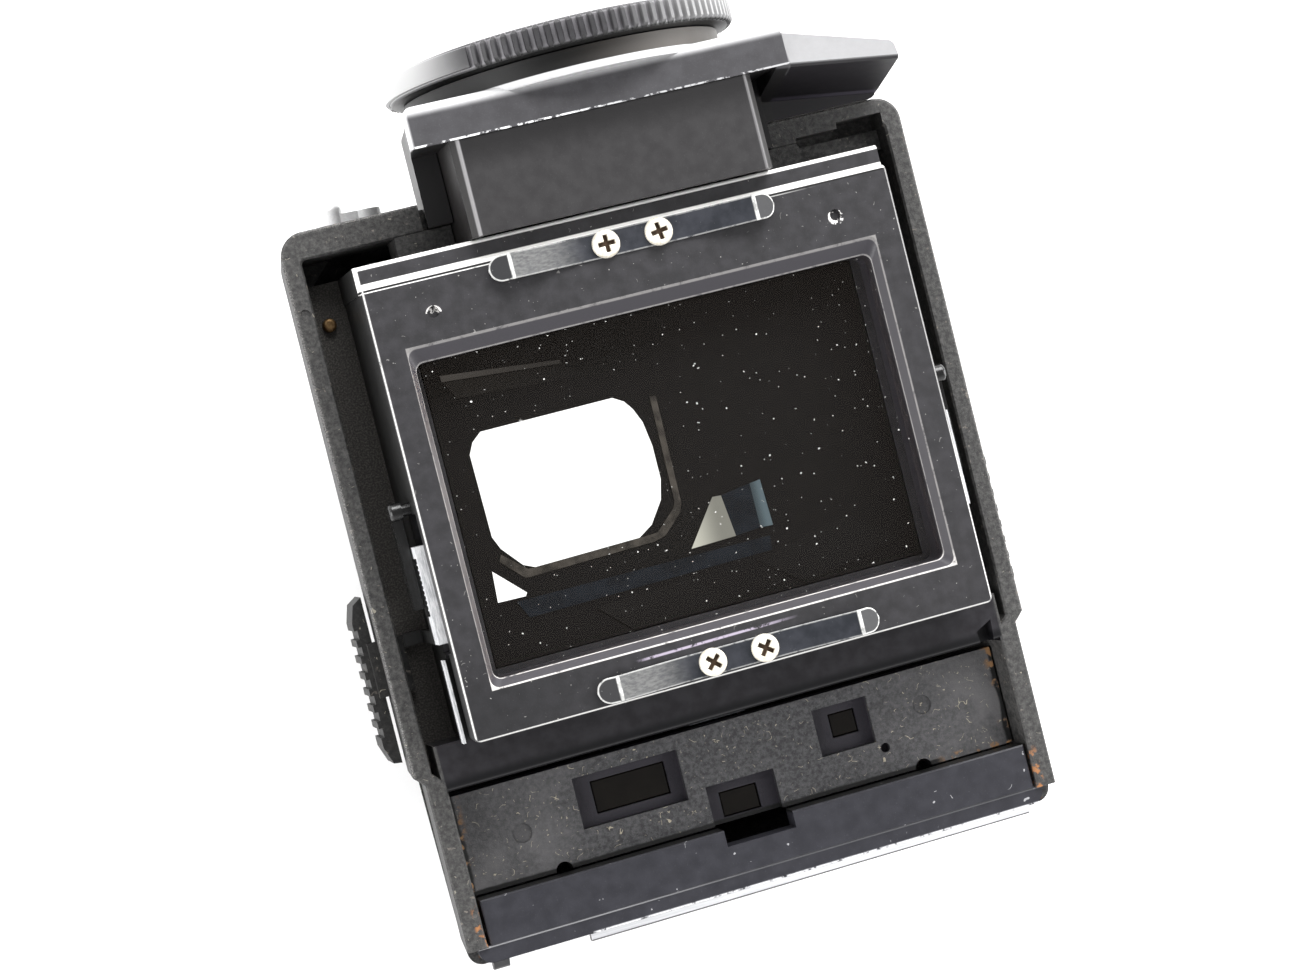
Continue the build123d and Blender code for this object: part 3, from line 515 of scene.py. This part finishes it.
def steel(name, along=(0.15, 3.0, 3.0), dark=(0.1, 0.11, 0.13), light=(0.5, 0.5, 0.5), rough=0.32):
    f = Finish(name)
    brush = f.noise(3.0, 4.0, 0.7, f.stretched(along))
    cloud = f.noise(0.5, 3.0)
    colour = f.mix(brush.ramp(0.3, 0.75), dark, light)
    return f.set(Base_Color=colour, Metallic=1.0, Roughness=rough + 0.15 * cloud,
                 Normal=f.relief(brush, 0.006, 0.5))


def latch_metal(name):
    """Bright nickel above, and the blackened link below it that ties the slide to its button."""
    f = Finish(name)
    z = f.axes()[2]
    brush = f.noise(3.0, 4.0, 0.7, f.stretched((3, 0.3, 3)))
    bright = z.ramp(2.9, 3.4)
    colour = f.mix(brush.ramp(0.3, 0.75), (0.45, 0.46, 0.48), (0.92, 0.92, 0.93))
    colour = f.mix(bright, (0.012, 0.012, 0.012), colour)
    return f.set(Base_Color=colour, Metallic=bright * 0.25, Roughness=0.4,
                 Normal=f.relief(brush, 0.006, 0.5))


def mixed_finish(f, factor, first, second):
    """Puts a Mix Shader of two shader outputs on the material."""
    blend = f.node("ShaderNodeMixShader", {}, {"Fac": factor, 1: first, 2: second})
    f.tree.nodes.remove(f.shader)
    f.tree.links.new(blend.socket, f.tree.nodes["Material Output"].inputs["Surface"])
    return f.material


def lens_glass(name):
    """Coated glass seen as a thin film: it lets the dark inside through and mirrors very little."""
    f = Finish(name)
    dust = f.noise(3.4, 2.0, 0.35).ramp(0.755, 0.775)
    sheen = f.node("ShaderNodeFresnel", {}, {"IOR": 1.45}) * 0.22
    see = f.node("ShaderNodeBsdfTransparent", {}, {"Color": (0.95, 0.95, 0.95)})
    gloss = f.node("ShaderNodeBsdfAnisotropic", {}, {"Color": (1.0, 0.86, 0.74), "Roughness": 0.06})
    film = f.node("ShaderNodeMixShader", {}, {"Fac": sheen, 1: see, 2: gloss})
    speck = f.node("ShaderNodeBsdfDiffuse", {}, {"Color": (0.7, 0.7, 0.68)})
    return mixed_finish(f, dust * 0.8, film, speck)


def optical(name):
    f = Finish(name)
    dust = f.noise(3.0, 2.0, 0.4).ramp(0.78, 0.8)
    return f.set(Base_Color=f.mix(dust, (0.9, 0.93, 0.95), (0.95, 0.95, 0.92)), IOR=1.52,
                 Transmission_Weight=1.0, Roughness=0.5 * dust)


finishes = {
    "cast_black": cast_black("cast_black"),
    "nameplate_black": enamel("nameplate_black", 0.012, gloss=0.28),
    "semi_gloss_black": enamel("semi_gloss_black", 0.02),
    "panel_grey": panel_grain("panel_grey"),
    "apron_black": lip_black("apron_black"),
    "bright_trim": trim_reflection("bright_trim"),
    "optical_glass": optical("optical_glass"),
    "mask_black": smooth_black("mask_black", (0.006, 0.006, 0.0065), 0.6, 0.05, 0.2),
    "spring_steel": steel("spring_steel"),
    "screw_nickel": steel("screw_nickel", (1, 1, 1), (0.8, 0.76, 0.62), (0.95, 0.93, 0.85), 0.3),
    "strap_steel": steel("strap_steel"),
    "foam": smooth_black("foam", (0.02, 0.02, 0.02), 0.8),
    "contact_brass": steel("contact_brass", (1, 1, 1), (0.10, 0.055, 0.025), (0.3, 0.2, 0.1), 0.45),
    "ring_black": enamel("ring_black", 0.03),
    "latch_chrome": latch_metal("latch_chrome"),
    "button_black": cast_black("button_black", 0.016, 0.03),
    "window_glass": smooth_black("window_glass", (0.005, 0.004, 0.003), 0.12, 0.0, 0.25),
    "blade_black": smooth_black("blade_black", (0.012, 0.012, 0.012), 0.5),
}
print(len(finishes), "finishes")

# %% [markdown]
# ## Finishes onto the CAD parts
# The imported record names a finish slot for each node. Nodes that keep their CAD shape take the
# finish of their slot here; later cells replace some of them, or give them a finish of their own.

# %% dress the CAD parts
slot_of = {part["node"]: part["material_slot"] for part in frame["record"]["subparts"]}
own_finish = {
    "screen_frame": frame_enamel("screen_frame_enamel"),
    "base_lens": lens_glass("base_lens_glass"),
    "pentaprism": smooth_black("prism_black", (0.006, 0.005, 0.005), 0.15, 0.0, 0.2),
    "stop_pin_left": smooth_black("pin_black", (0.006, 0.006, 0.006), 0.2, 0.0),
    "light_tunnel": duct_enamel("duct_enamel"),
    "eyepiece_housing": housing_enamel("housing_enamel"),
    "blind_lever": steel("lever_nickel", (1, 1, 1), (0.8, 0.8, 0.8), (0.95, 0.95, 0.95), 0.5),
}
own_finish["stop_pin_right"] = own_finish["stop_pin_left"]
for name, part in nodes.items():
    part.data.materials.clear()
    part.data.materials.append(own_finish.get(name, finishes[slot_of[name]]))
print(len(nodes), "parts dressed,", len(own_finish), "with a finish of their own")

bench_finish = Finish("bench_white")
bench_mesh.materials.append(bench_finish.set(Base_Color=bench_finish.mix(
    bench_finish.noise(0.02, 2.0), (0.93, 0.93, 0.93), (0.95, 0.95, 0.95)), Roughness=0.9))

# %% [markdown]
# ## Making pieces
# A piece is a mesh made in code, in mm for reading ease, then scaled to metres in its vertices.
# Its object stays at the origin, as the CAD parts' objects do. Doubles are merged and the faces
# turned outwards before the mesh is kept.


# %% piece helpers
def keep_piece(name, mesh, body, finish_list, replaced=(), smooth=40):
    """Links a finished mesh as a piece on a body, standing for CAD nodes."""
    piece = bpy.data.objects.new(name, mesh)
    scene.collection.objects.link(piece)
    for finish in finish_list:
        mesh.materials.append(finish)
    if smooth:
        mesh.polygons.foreach_set("use_smooth", [True] * len(mesh.polygons))
        mesh.set_sharp_from_angle(angle=radians(smooth))
    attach(piece, body)
    if replaced:
        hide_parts(*replaced)
    print(name, len(mesh.polygons), "faces")


def mesh_from(name, points, faces, face_finish=None):
    """A mesh from points in mm, welded, with its faces outwards."""
    mesh = bpy.data.meshes.new(name)
    mesh.from_pydata([Vector(p) * mm for p in points], [], faces)
    if face_finish:
        mesh.polygons.foreach_set("material_index", face_finish)
    work = bmesh.new()
    work.from_mesh(mesh)
    bmesh.ops.remove_doubles(work, verts=work.verts, dist=1e-7)
    bmesh.ops.recalc_face_normals(work, faces=work.faces)
    work.to_mesh(mesh)
    work.free()
    return mesh


def lathe(name, profile, centre_z, steps=160):
    """A closed (radius, y) profile turned about the eyepiece axis, which runs along Y."""
    points, faces, n = [], [], len(profile)
    for i in range(steps):
        angle = 2 * pi * i / steps
        points += [(r * sin(angle), y, centre_z + r * cos(angle)) for r, y in profile]
        for j in range(n):
            a, b = i * n, (i + 1) % steps * n
            faces.append((a + j, a + (j + 1) % n, b + (j + 1) % n, b + j))
    return mesh_from(name, points, faces)


# %% [markdown]
# ## What shows through the lens
# Looking into the screen opening, the eye follows the light through the prism to the eyepiece:
# the eyepiece's cut-cornered mask shows as a bright patch, with slivers of it mirrored beside it,
# and the rest is dark. A traced prism would need every mirrored face exact. Instead thin plates
# lie under the lens, just above the prism's entrance: one glowing patch, its dim bevel, and
# the mirrored slivers.


# %% plates of the view
def glow(name, colour, strength, fade=None, low=0.55):
    f = Finish(name)
    cloud = f.noise(0.7, 3.0)
    x = f.axes()[0]
    dim = tuple(c * low for c in colour)
    base = f.mix(cloud.ramp(0.35, 0.65) if fade is None else x.ramp(*fade), dim, colour)
    return f.set(Base_Color=(0.003, 0.003, 0.003), Roughness=0.6, Emission_Color=base,
                 Emission_Strength=strength, Specular_IOR_Level=0.1)


def view_plates(layers, thickness=0.05):
    """Closed thin plates, one per layer: its outline in mm, its height and its finish number."""
    points, faces, finish_of = [], [], []
    for outline, z, finish in layers:
        n, start = len(outline), len(points)
        points += [(x, y, z) for x, y in outline] + [(x, y, z + thickness) for x, y in outline]
        faces.append(tuple(range(start + n - 1, start - 1, -1)))
        faces.append(tuple(range(start + n, start + 2 * n)))
        faces += [(start + i, start + (i + 1) % n, start + n + (i + 1) % n, start + n + i)
                  for i in range(n)]
        finish_of += [finish] * (n + 2)
    return mesh_from("prism_view", points, faces, finish_of)


bright_patch = [(-14.5, 5.95), (-3.7, 6.0), (-2.85, 5.5), (-2.3, 4.75), (-1.8, 3.6), (-1.5, 1.6),
                (-1.5, -1.1), (-1.9, -2.7), (-3.1, -4.4), (-4.3, -5.15), (-12.9, -5.3),
                (-13.8, -4.9), (-15.2, -3.25), (-15.65, -2.2), (-15.75, 4.4), (-15.3, 5.3)]
side_bevel = [(-0.75, 5.4), (-0.25, 5.35), (-0.35, -3.3), (-0.6, -4.0), (-2.2, -5.5),
              (-2.75, -5.1), (-1.1, -3.6), (-0.85, -3.1)]
low_bevel = [(-3.2, -5.75), (-13.85, -5.95), (-15.55, -4.2), (-15.3, -3.7), (-13.5, -5.3),
             (-3.4, -5.15), (-2.75, -5.1), (-2.2, -5.5)]
corner_sliver = [(-16.3, -4.8), (-16.45, -7.25), (-14.2, -7.3), (-14.05, -7.05)]
mirror_white = [(-0.45, -7.05), (2.2, -3.5), (2.9, -3.55), (3.3, -6.95)]
mirror_dark = [(2.9, -3.55), (5.4, -3.2), (5.4, -6.8), (3.3, -6.95)]
mirror_grey = [(5.4, -3.2), (6.3, -3.1), (6.45, -6.85), (5.4, -6.8)]
blue_bar = [(-15.0, -7.55), (-14.3, -9.0), (5.9, -8.75), (6.0, -7.6)]
top_bar = [(-16.5, 10.9), (-7.0, 9.9), (-7.0, 9.6), (-16.5, 10.4)]
top_facet = [(-16.4, 10.3), (-7.0, 9.5), (-5.0, 8.2), (-15.6, 8.9)]
low_facet = [(-9.0, -9.6), (-1.2, -9.3), (2.2, -12.0), (-6.5, -12.0)]
right_facet = [(4.5, -9.2), (12.5, -7.6), (16.5, -10.4), (8.0, -12.0)]
backing = [(-17.8, -12.1), (17.8, -12.1), (17.8, 12.9), (-17.8, 12.9)]
view_z = 2.66
layers = [(backing, view_z - 0.08, 0), (blue_bar, view_z, 2), (top_bar, view_z, 3),
          (top_facet, view_z - 0.02, 7), (low_facet, view_z, 7), (right_facet, view_z, 7),
          (bright_patch, view_z, 1), (side_bevel, view_z, 4), (low_bevel, view_z, 4),
          (corner_sliver, view_z, 1), (mirror_white, view_z, 5), (mirror_dark, view_z, 2),
          (mirror_grey, view_z, 6)]
# Every plate glows with its own colour: painted light and painted reflections of the view through the
# prism, not lamps.
view_finishes = [glow("view_black", (1.0, 0.78, 0.6), 0.0045, low=0.8),
                 glow("view_bright", (1.0, 1.0, 0.98), 1.6, low=0.95),
                 glow("view_blue", (0.10, 0.14, 0.20), 0.10),
                 glow("view_dim", (0.10, 0.09, 0.08), 0.6, (-8, -16)),
                 glow("view_bevel", (0.42, 0.37, 0.31), 0.22, low=0.35),
                 glow("view_pale", (0.85, 0.84, 0.72), 0.8, (2.4, -0.4), low=0.4),
                 glow("view_steel", (0.25, 0.34, 0.38), 0.5, (5.3, 6.2), low=0.4),
                 glow("view_facet", (1.0, 0.85, 0.7), 0.012, (-4, -16), low=0.45)]
keep_piece("prism_view", view_plates(layers), "finder", view_finishes,
           replaced=["lens_mask"], smooth=0)

# %% [markdown]
# ## Geometry Nodes for what repeats
# A tree of nodes places copies of one shape: along a line for ribs, round an axis for the knurl,
# at the points of a mesh for screws. The small class below builds such a tree with named inputs,
# runs it once, and keeps the result as a plain mesh. The named inputs are set on the modifier by
# the socket's identifier, before the object is first evaluated.


# %% the tree builder
class Pattern:
    """A Geometry Nodes tree with named inputs that ends in Realize Instances and Set Material."""

    def __init__(self, name, **inputs):
        kinds = {int: "NodeSocketInt", float: "NodeSocketFloat",
                 bpy.types.Object: "NodeSocketObject", bpy.types.Material: "NodeSocketMaterial"}
        self.name = name
        self.tree = bpy.data.node_groups.new(name, "GeometryNodeTree")
        face = self.tree.interface
        face.new_socket("Geometry", in_out="INPUT", socket_type="NodeSocketGeometry")
        face.new_socket("Geometry", in_out="OUTPUT", socket_type="NodeSocketGeometry")
        self.values, self.identifier = inputs, {}
        for label, value in inputs.items():
            made = face.new_socket(label, in_out="INPUT", socket_type=kinds[type(value)])
            self.identifier[label] = made.identifier
        self.given = self.tree.nodes.new("NodeGroupInput")

    def input(self, label="Geometry"):
        return self.given.outputs[label]

    def node(self, kind, settings=None, **sockets):
        made = self.tree.nodes.new(kind)
        for key, value in (settings or {}).items():
            setattr(made, key, value)
        for key, value in sockets.items():
            self.feed(made.inputs[int(key[1:]) if key[0] == "_" else key.replace("_", " ")], value)
        return made

    def feed(self, socket, value):
        if isinstance(value, bpy.types.NodeSocket):
            self.tree.links.new(value, socket)
        else:
            socket.default_value = value

    def sum(self, operation, first, second=0.0):
        return self.node("ShaderNodeMath", {"operation": operation}, _0=first, _1=second).outputs[0]

    def vector(self, x=0.0, y=0.0, z=0.0):
        return self.node("ShaderNodeCombineXYZ", X=x, Y=y, Z=z).outputs[0]

    def grow(self, shape, host_points=((0, 0, 0),)):
        """Ends the tree, runs it on a host mesh of those points in mm, and returns the mesh."""
        real = self.node("GeometryNodeRealizeInstances", Geometry=shape).outputs[0]
        dressed = self.node("GeometryNodeSetMaterial", Geometry=real,
                            Material=self.input("Finish")).outputs[0]
        end = self.tree.nodes.new("NodeGroupOutput")
        self.tree.links.new(dressed, end.inputs[0])
        host_mesh = bpy.data.meshes.new(self.name)
        host_mesh.from_pydata([Vector(p) * mm for p in host_points], [], [])
        host = bpy.data.objects.new(self.name + "_host", host_mesh)
        scene.collection.objects.link(host)
        modifier = host.modifiers.new(self.name, "NODES")
        modifier.node_group = self.tree
        for label, value in self.values.items():
            modifier[self.identifier[label]] = value
        graph = bpy.context.evaluated_depsgraph_get()
        mesh = bpy.data.meshes.new_from_object(host.evaluated_get(graph), depsgraph=graph)
        mesh.name = self.name
        host.modifiers.remove(modifier)
        bpy.data.objects.remove(host)
        return mesh


def pattern_shape(name, points, faces):
    """A small shape for a pattern to copy: an object that is in no collection."""
    return bpy.data.objects.new(name, mesh_from(name, points, faces))


# %% [markdown]
# ## Eyepiece ring
# The ring screws into the collar. Its edge is knurled with short straight teeth for the fingers,
# except for one smooth stretch, which is left blank here. The rim is one lathed shape, and the
# teeth are copies of one small bevelled bar, set round the rim by a pattern of nodes.

# %% eyepiece ring
axis_z = -3.0
rim_root, rim_tip, rim_back, rim_face = 13.95, 14.38, 32.62, 34.88
bore, glass_seat, sight, teeth_y = 10.9, 10.42, 9.6, 33.75
rim_profile = [(sight, rim_back), (13.4, rim_back), (rim_root - 0.1, 32.75), (rim_root, 32.95),
               (rim_root, 34.55), (rim_root - 0.15, 34.75), (13.3, rim_face), (bore + 0.25, rim_face),
               (bore, rim_face - 0.25), (bore, 33.9), (glass_seat, 33.9), (glass_seat, 32.9),
               (sight, 32.9)]


def knurl_enamel(name):
    """Dark on the teeth, pale in the grooves, with painted highlights to the right and to the left,
    and painted shade on the rear face.
    """
    f = Finish(name)
    x, y, z = f.axes((0, 0, axis_z))
    radius = f.square_root(x * x + z * z)
    cloud, fine = f.noise(0.7, 4.0), f.noise(7.0, 3.0, 0.7)
    groove = radius.ramp(14.2, 14.02) * radius.ramp(13.85, 13.93)
    right = x.ramp(1.0, 13.5)
    left = x.ramp(-9.0, -14.0)
    colour = f.mix(cloud.ramp(0.3, 0.7), (0.018, 0.0175, 0.019), (0.03, 0.029, 0.032))
    colour = f.mix(groove, colour, (0.16, 0.155, 0.165))
    # painted highlights: paler to the right and to the left
    colour = f.mix((right * 0.55).most(left * 0.75), colour, (0.5, 0.5, 0.5))
    # painted shade on the ring's rear face, next to the plate
    rear = y.ramp(33.0, 32.8)
    colour = f.mix(rear, colour, (0.003, 0.003, 0.003))
    return f.set(Base_Color=colour, Roughness=0.38 + 0.1 * cloud, Specular_IOR_Level=0.45,
                 Normal=f.relief(fine, 0.015, 0.5))


ring_finish = knurl_enamel("knurl_enamel")
keep_piece("eyepiece_rim_body", lathe("eyepiece_rim_body", rim_profile, axis_z), "eyepiece_rim",
           [ring_finish], replaced=["eyepiece_ring"], smooth=30)


def bar_shape(name, half_wide, half_long, tall, round_off):
    """A bar along Y that stands on z = 0, narrower at its top and at its ends."""
    points, sections = [], []
    for y, h, w in ((-half_long, 0.35, 0.7), (-half_long + round_off, 1.0, 1.0),
                    (half_long - round_off, 1.0, 1.0), (half_long, 0.35, 0.7)):
        a, b = half_wide * w, half_wide * w * 0.55
        sections.append(len(points))
        points += [(-a, y, -0.1), (-a, y, tall * h * 0.45), (-b, y, tall * h), (b, y, tall * h),
                   (a, y, tall * h * 0.45), (a, y, -0.1)]
    faces = [tuple(range(5, -1, -1)), tuple(range(18, 24))]
    for s in sections[:-1]:
        faces += [(s + i, s + (i + 1) % 6, s + 6 + (i + 1) % 6, s + 6 + i) for i in range(6)]
    return pattern_shape(name, points, faces)


teeth = Pattern("knurl_teeth", Teeth=84, Radius=rim_root * mm, Start=radians(-38.0),
                Sweep=radians(288.0), Tooth=bar_shape("tooth", 0.27, 0.98, rim_tip - rim_root, 0.3),
                Finish=ring_finish)
index = teeth.node("GeometryNodeInputIndex").outputs[0]
share = teeth.sum("DIVIDE", index, teeth.sum("SUBTRACT", teeth.input("Teeth"), 1.0))
angle = teeth.sum("ADD", teeth.input("Start"), teeth.sum("MULTIPLY", share, teeth.input("Sweep")))
across = teeth.sum("MULTIPLY", teeth.sum("SINE", angle), teeth.input("Radius"))
up = teeth.sum("MULTIPLY", teeth.sum("COSINE", angle), teeth.input("Radius"))
spot = teeth.vector(across, teeth_y * mm, teeth.sum("ADD", up, axis_z * mm))
row = teeth.node("GeometryNodeMeshLine", Count=teeth.input("Teeth")).outputs[0]
ring_of_points = teeth.node("GeometryNodeSetPosition", Geometry=row, Position=spot).outputs[0]
tooth = teeth.node("GeometryNodeObjectInfo", Object=teeth.input("Tooth")).outputs["Geometry"]
copies = teeth.node("GeometryNodeInstanceOnPoints", Points=ring_of_points, Instance=tooth,
                    Rotation=teeth.vector(0.0, angle, 0.0)).outputs[0]
keep_piece("eyepiece_rim_knurl", teeth.grow(copies), "eyepiece_rim", [])


def blank_band(first, last, steps=40):
    """The smooth stretch between the last tooth and the first, closed at both ends."""
    wall = [(14.0, 32.95), (14.28, 33.0), (14.3, 33.2), (14.3, 34.35), (14.22, 34.55),
            (14.0, 34.6)]
    points, faces, n = [], [], len(wall)
    for i in range(steps + 1):
        a = first + (last - first) * i / steps
        points += [(r * sin(a), y, axis_z + r * cos(a)) for r, y in wall]
    for i in range(steps):
        s = i * n
        faces += [(s + j, s + (j + 1) % n, s + n + (j + 1) % n, s + n + j) for j in range(n)]
    faces += [tuple(range(n - 1, -1, -1)), tuple(range(steps * n, steps * n + n))]
    return mesh_from("eyepiece_rim_band", points, faces)


keep_piece("eyepiece_rim_band", blank_band(radians(-108.0), radians(-40.5)), "eyepiece_rim",
           [ring_finish])

# %% [markdown]
# ## Leaf springs
# Two thin steel leaves press the focusing screen home. Each is held in its middle by two screws,
# rises towards both ends, and turns down at its round tips, with a crease where it bends. A strip
# of quads follows that rule: the height and the half width are functions of the distance from the
# middle.


# %% leaf springs
leaf_long, leaf_bend, leaf_flat = 11.6, 10.0, 4.0
leaf_wide, leaf_thick, leaf_rise, leaf_drop = 1.0, 0.18, 1.05, 0.62
leaf_steps, leaf_bevel, screw_apart = 188, 0.05, 4.3
block_top = block_high[2]


def leaf_height(x):
    """Height of the leaf's underside over the frame: flat, rising, then turned down."""
    away = abs(x)
    if away < leaf_flat:
        return 0.0
    if away < leaf_bend:
        return leaf_rise * ((away - leaf_flat) / (leaf_bend - leaf_flat)) ** 1.25
    return leaf_rise - leaf_drop * (away - leaf_bend) / (leaf_long - leaf_bend)


def leaf_half_width(x):
    away = abs(x) - (leaf_long - leaf_wide)
    return leaf_wide if away <= 0 else leaf_wide * sqrt(max(0.004, 1 - (away / leaf_wide) ** 2))


def leaf_mesh(name, x0, y0):
    xs = [-leaf_long + 2 * leaf_long * i / leaf_steps for i in range(leaf_steps + 1)]
    points, faces = [], []
    for x in xs:
        low, w = block_top + 0.01 + leaf_height(x), leaf_half_width(x)
        top, inner = low + leaf_thick, max(0.02, w - leaf_bevel)
        points += [(x0 + x, y0 - w, low), (x0 + x, y0 - w, top - leaf_bevel),
                   (x0 + x, y0 - inner, top),
                   (x0 + x, y0 + inner, top), (x0 + x, y0 + w, top - leaf_bevel),
                   (x0 + x, y0 + w, low)]
    for i in range(len(xs) - 1):
        s = i * 6
        faces += [(s + j, s + (j + 1) % 6, s + 6 + (j + 1) % 6, s + 6 + j) for j in range(6)]
    last = (len(xs) - 1) * 6
    faces += [tuple(range(5, -1, -1)), tuple(range(last, last + 6))]
    return mesh_from(name, points, faces)


def leaf_steel(name, x0, y0):
    """Blued steel with a brushed grain, paler on the half that rises to the left, with pale creases.
    """
    f = Finish(name)
    x, y, _ = f.axes((x0, y0, 0))
    brush = f.noise(2.2, 4.0, 0.6, f.stretched((0.9, 2.5, 1.0), (0, 0, 0.5)))
    cloud, fine, breakup = f.noise(0.8, 3.0), f.noise(6.0, 3.0, 0.7), f.noise(1.5, 4.0)
    colour = f.mix(cloud.ramp(0.3, 0.7), (0.014, 0.016, 0.021), (0.03, 0.032, 0.040))
    left_rise_paler = x.ramp(-3.2, -7.5) * x.ramp(-10.1, -9.9)
    colour = f.mix(left_rise_paler * (0.45 + 0.55 * brush.ramp(0.3, 0.7)), colour, (0.15, 0.15, 0.148))
    tip = abs(x).ramp(leaf_bend, leaf_bend + 0.1)
    colour = f.mix(tip, colour, (0.022, 0.022, 0.024))
    crease = thin_line(abs(x), leaf_bend - 0.08, 0.2) * (0.5 + 0.5 * breakup.ramp(0.4, 0.5))
    past = (abs(x) - leaf_long + leaf_wide).most(0.0)
    round_end = f.square_root(y * y + past * past)
    rim = round_end.ramp(leaf_wide - 0.15, leaf_wide - 0.05) * breakup.ramp(0.3, 0.5)
    pale = (crease * 0.85).most(rim * (0.3 + 0.4 * tip)).most(fine.ramp(0.7, 0.75) * 0.3)
    colour = f.mix(pale, colour, (0.75, 0.75, 0.73))
    return f.set(Base_Color=colour, Metallic=0.3, Roughness=0.4 + 0.12 * brush,
                 Normal=f.relief(brush, 0.006, 0.4), Specular_IOR_Level=0.4)


leaf_places = {"rear": (0.0, 17.6), "front": (0.15, -15.7)}
for place, (leaf_x, leaf_y) in leaf_places.items():
    keep_piece(f"{place}_leaf", leaf_mesh(f"{place}_leaf", leaf_x, leaf_y), "finder",
               [leaf_steel(f"{place}_leaf_steel", leaf_x, leaf_y)],
               replaced=[f"{place}_leaf_spring"], smooth=25)

# %% [markdown]
# ## Screws of the leaves
# Pale nickelled pan heads with a cross recess, brown with old dirt at the bottom. One head is
# modelled on a polar grid: its height is a dome, less the cross. A pattern of nodes then puts a
# copy at each of four points, each turned by its own angle. How deep a point lies in the
# cross is kept as an attribute, which the finish reads to lay the dirt.

# %% screw heads
head_radius, head_tall, recess_deep = 1.1, 0.55, 0.4


def cross_depth(x, y):
    """1 inside the cross, 0 outside it, with short sloping walls."""
    arm, wide, slope = 0.7, 0.2, 0.06
    along_x = min((arm - abs(x)) / slope, (wide - abs(y)) / slope)
    along_y = min((arm - abs(y)) / slope, (wide - abs(x)) / slope)
    return min(1.0, max(0.0, max(along_x, along_y)))


def screw_head():
    rings, spokes, rim_start = 34, 96, 0.74
    points, faces = [(0, 0, head_tall - recess_deep)], []
    for i in range(1, rings + 1):
        r = head_radius * i / rings
        edge = max(0.0, (r - rim_start) / (head_radius - rim_start))
        dome = head_tall - 0.02 * (r / head_radius) ** 2 - 0.30 * edge ** 2.2
        for j in range(spokes):
            x, y = r * cos(2 * pi * j / spokes), r * sin(2 * pi * j / spokes)
            points.append((x, y, dome - recess_deep * cross_depth(x, y)))
    for x, y, z in points[-spokes:]:
        points.append((x, y, 0.0))
    for j in range(spokes):
        k = (j + 1) % spokes
        faces.append((0, 1 + j, 1 + k))
        for i in range(rings):
            a, b = 1 + i * spokes, 1 + (i + 1) * spokes
            faces.append((a + j, b + j, b + k, a + k))
    faces.append(tuple(range(len(points) - 1, len(points) - 1 - spokes, -1)))
    head = pattern_shape("screw_head", points, faces)
    layer = head.data.attributes.new("recess", "FLOAT", "POINT")
    places = [v.co / mm for v in head.data.vertices]
    layer.data.foreach_set("value", [cross_depth(p.x, p.y) if p.z > 0.01 else 0.0 for p in places])
    return head


def screw_finish(name):
    f = Finish(name)
    deep = f.node("ShaderNodeAttribute", {"attribute_name": "recess"}, {}, output=2)
    brush, cloud = f.noise(5.0, 4.0, 0.7), f.noise(1.6, 3.0)
    colour = f.mix(brush.ramp(0.3, 0.7), (0.70, 0.64, 0.52), (0.90, 0.87, 0.79))
    colour = f.mix(cloud.ramp(0.6, 0.72) * 0.35, colour, (0.45, 0.36, 0.2))
    colour = f.mix(deep.ramp(0.15, 0.8), colour, (0.045, 0.022, 0.008))
    return f.set(Base_Color=colour, Metallic=0.55 * (1.0 - deep), Roughness=0.4 + 0.2 * brush,
                 Normal=f.relief(brush, 0.008, 0.5))


nickel = screw_finish("screw_pale_nickel")
head = screw_head()
for place, turned in (("rear", 0.03), ("front", 0.82)):
    leaf_x, leaf_y = leaf_places[place]
    heads = Pattern(f"{place}_screw_heads", Head=head, Turn=turned, Finish=nickel)
    shape = heads.node("GeometryNodeObjectInfo", Object=heads.input("Head")).outputs["Geometry"]
    number = heads.node("GeometryNodeInputIndex").outputs[0]
    spin = heads.sum("ADD", heads.input("Turn"), heads.sum("MULTIPLY", number, 0.12))
    copies = heads.node("GeometryNodeInstanceOnPoints", Points=heads.input(), Instance=shape,
                        Rotation=heads.vector(0.0, 0.0, spin)).outputs[0]
    spots = [(leaf_x + x, leaf_y, block_top + 0.2) for x in (-screw_apart / 2, screw_apart / 2)]
    keep_piece(f"{place}_leaf_screw_heads", heads.grow(copies, spots), "finder", [],
               replaced=[f"{place}_leaf_screws"], smooth=50)

# %% [markdown]
# ## Coil springs of the latches
# A small compression spring returns each slide. The curve is a spiral primitive turned to lie
# along Y, and Curve to Mesh gives the wire its thickness. The coil is drawn at its rest length
# and stays there, so it doesn't shorten when a button is pushed.

# %% coil springs
coil_x, coil_fixed_y, coil_z = 21.55, -2.6, 3.5
for side, sign in (("left", -1), ("right", 1)):
    coil = Pattern(f"latch_coil_{side}", Turns=10.0, Radius=0.36 * mm, Length=4.0 * mm,
                   Wire=0.085 * mm, Finish=finishes["latch_chrome"])
    place = Vector((sign * coil_x, coil_fixed_y, coil_z)) * mm
    spiral = coil.node("GeometryNodeCurveSpiral", Resolution=20, Rotations=coil.input("Turns"),
                       Start_Radius=coil.input("Radius"), End_Radius=coil.input("Radius"),
                       Height=coil.input("Length")).outputs[0]
    lying = coil.node("GeometryNodeTransform", Geometry=spiral, Rotation=(radians(90), 0, 0),
                      Translation=place).outputs[0]
    section = coil.node("GeometryNodeCurvePrimitiveCircle", Resolution=8,
                        Radius=coil.input("Wire")).outputs[0]
    wire = coil.node("GeometryNodeCurveToMesh", Curve=lying, Profile_Curve=section,
                     Fill_Caps=True).outputs[0]
    keep_piece(f"latch_coil_{side}", coil.grow(wire), "finder", [],
               replaced=[f"latch_spring_{side}"])
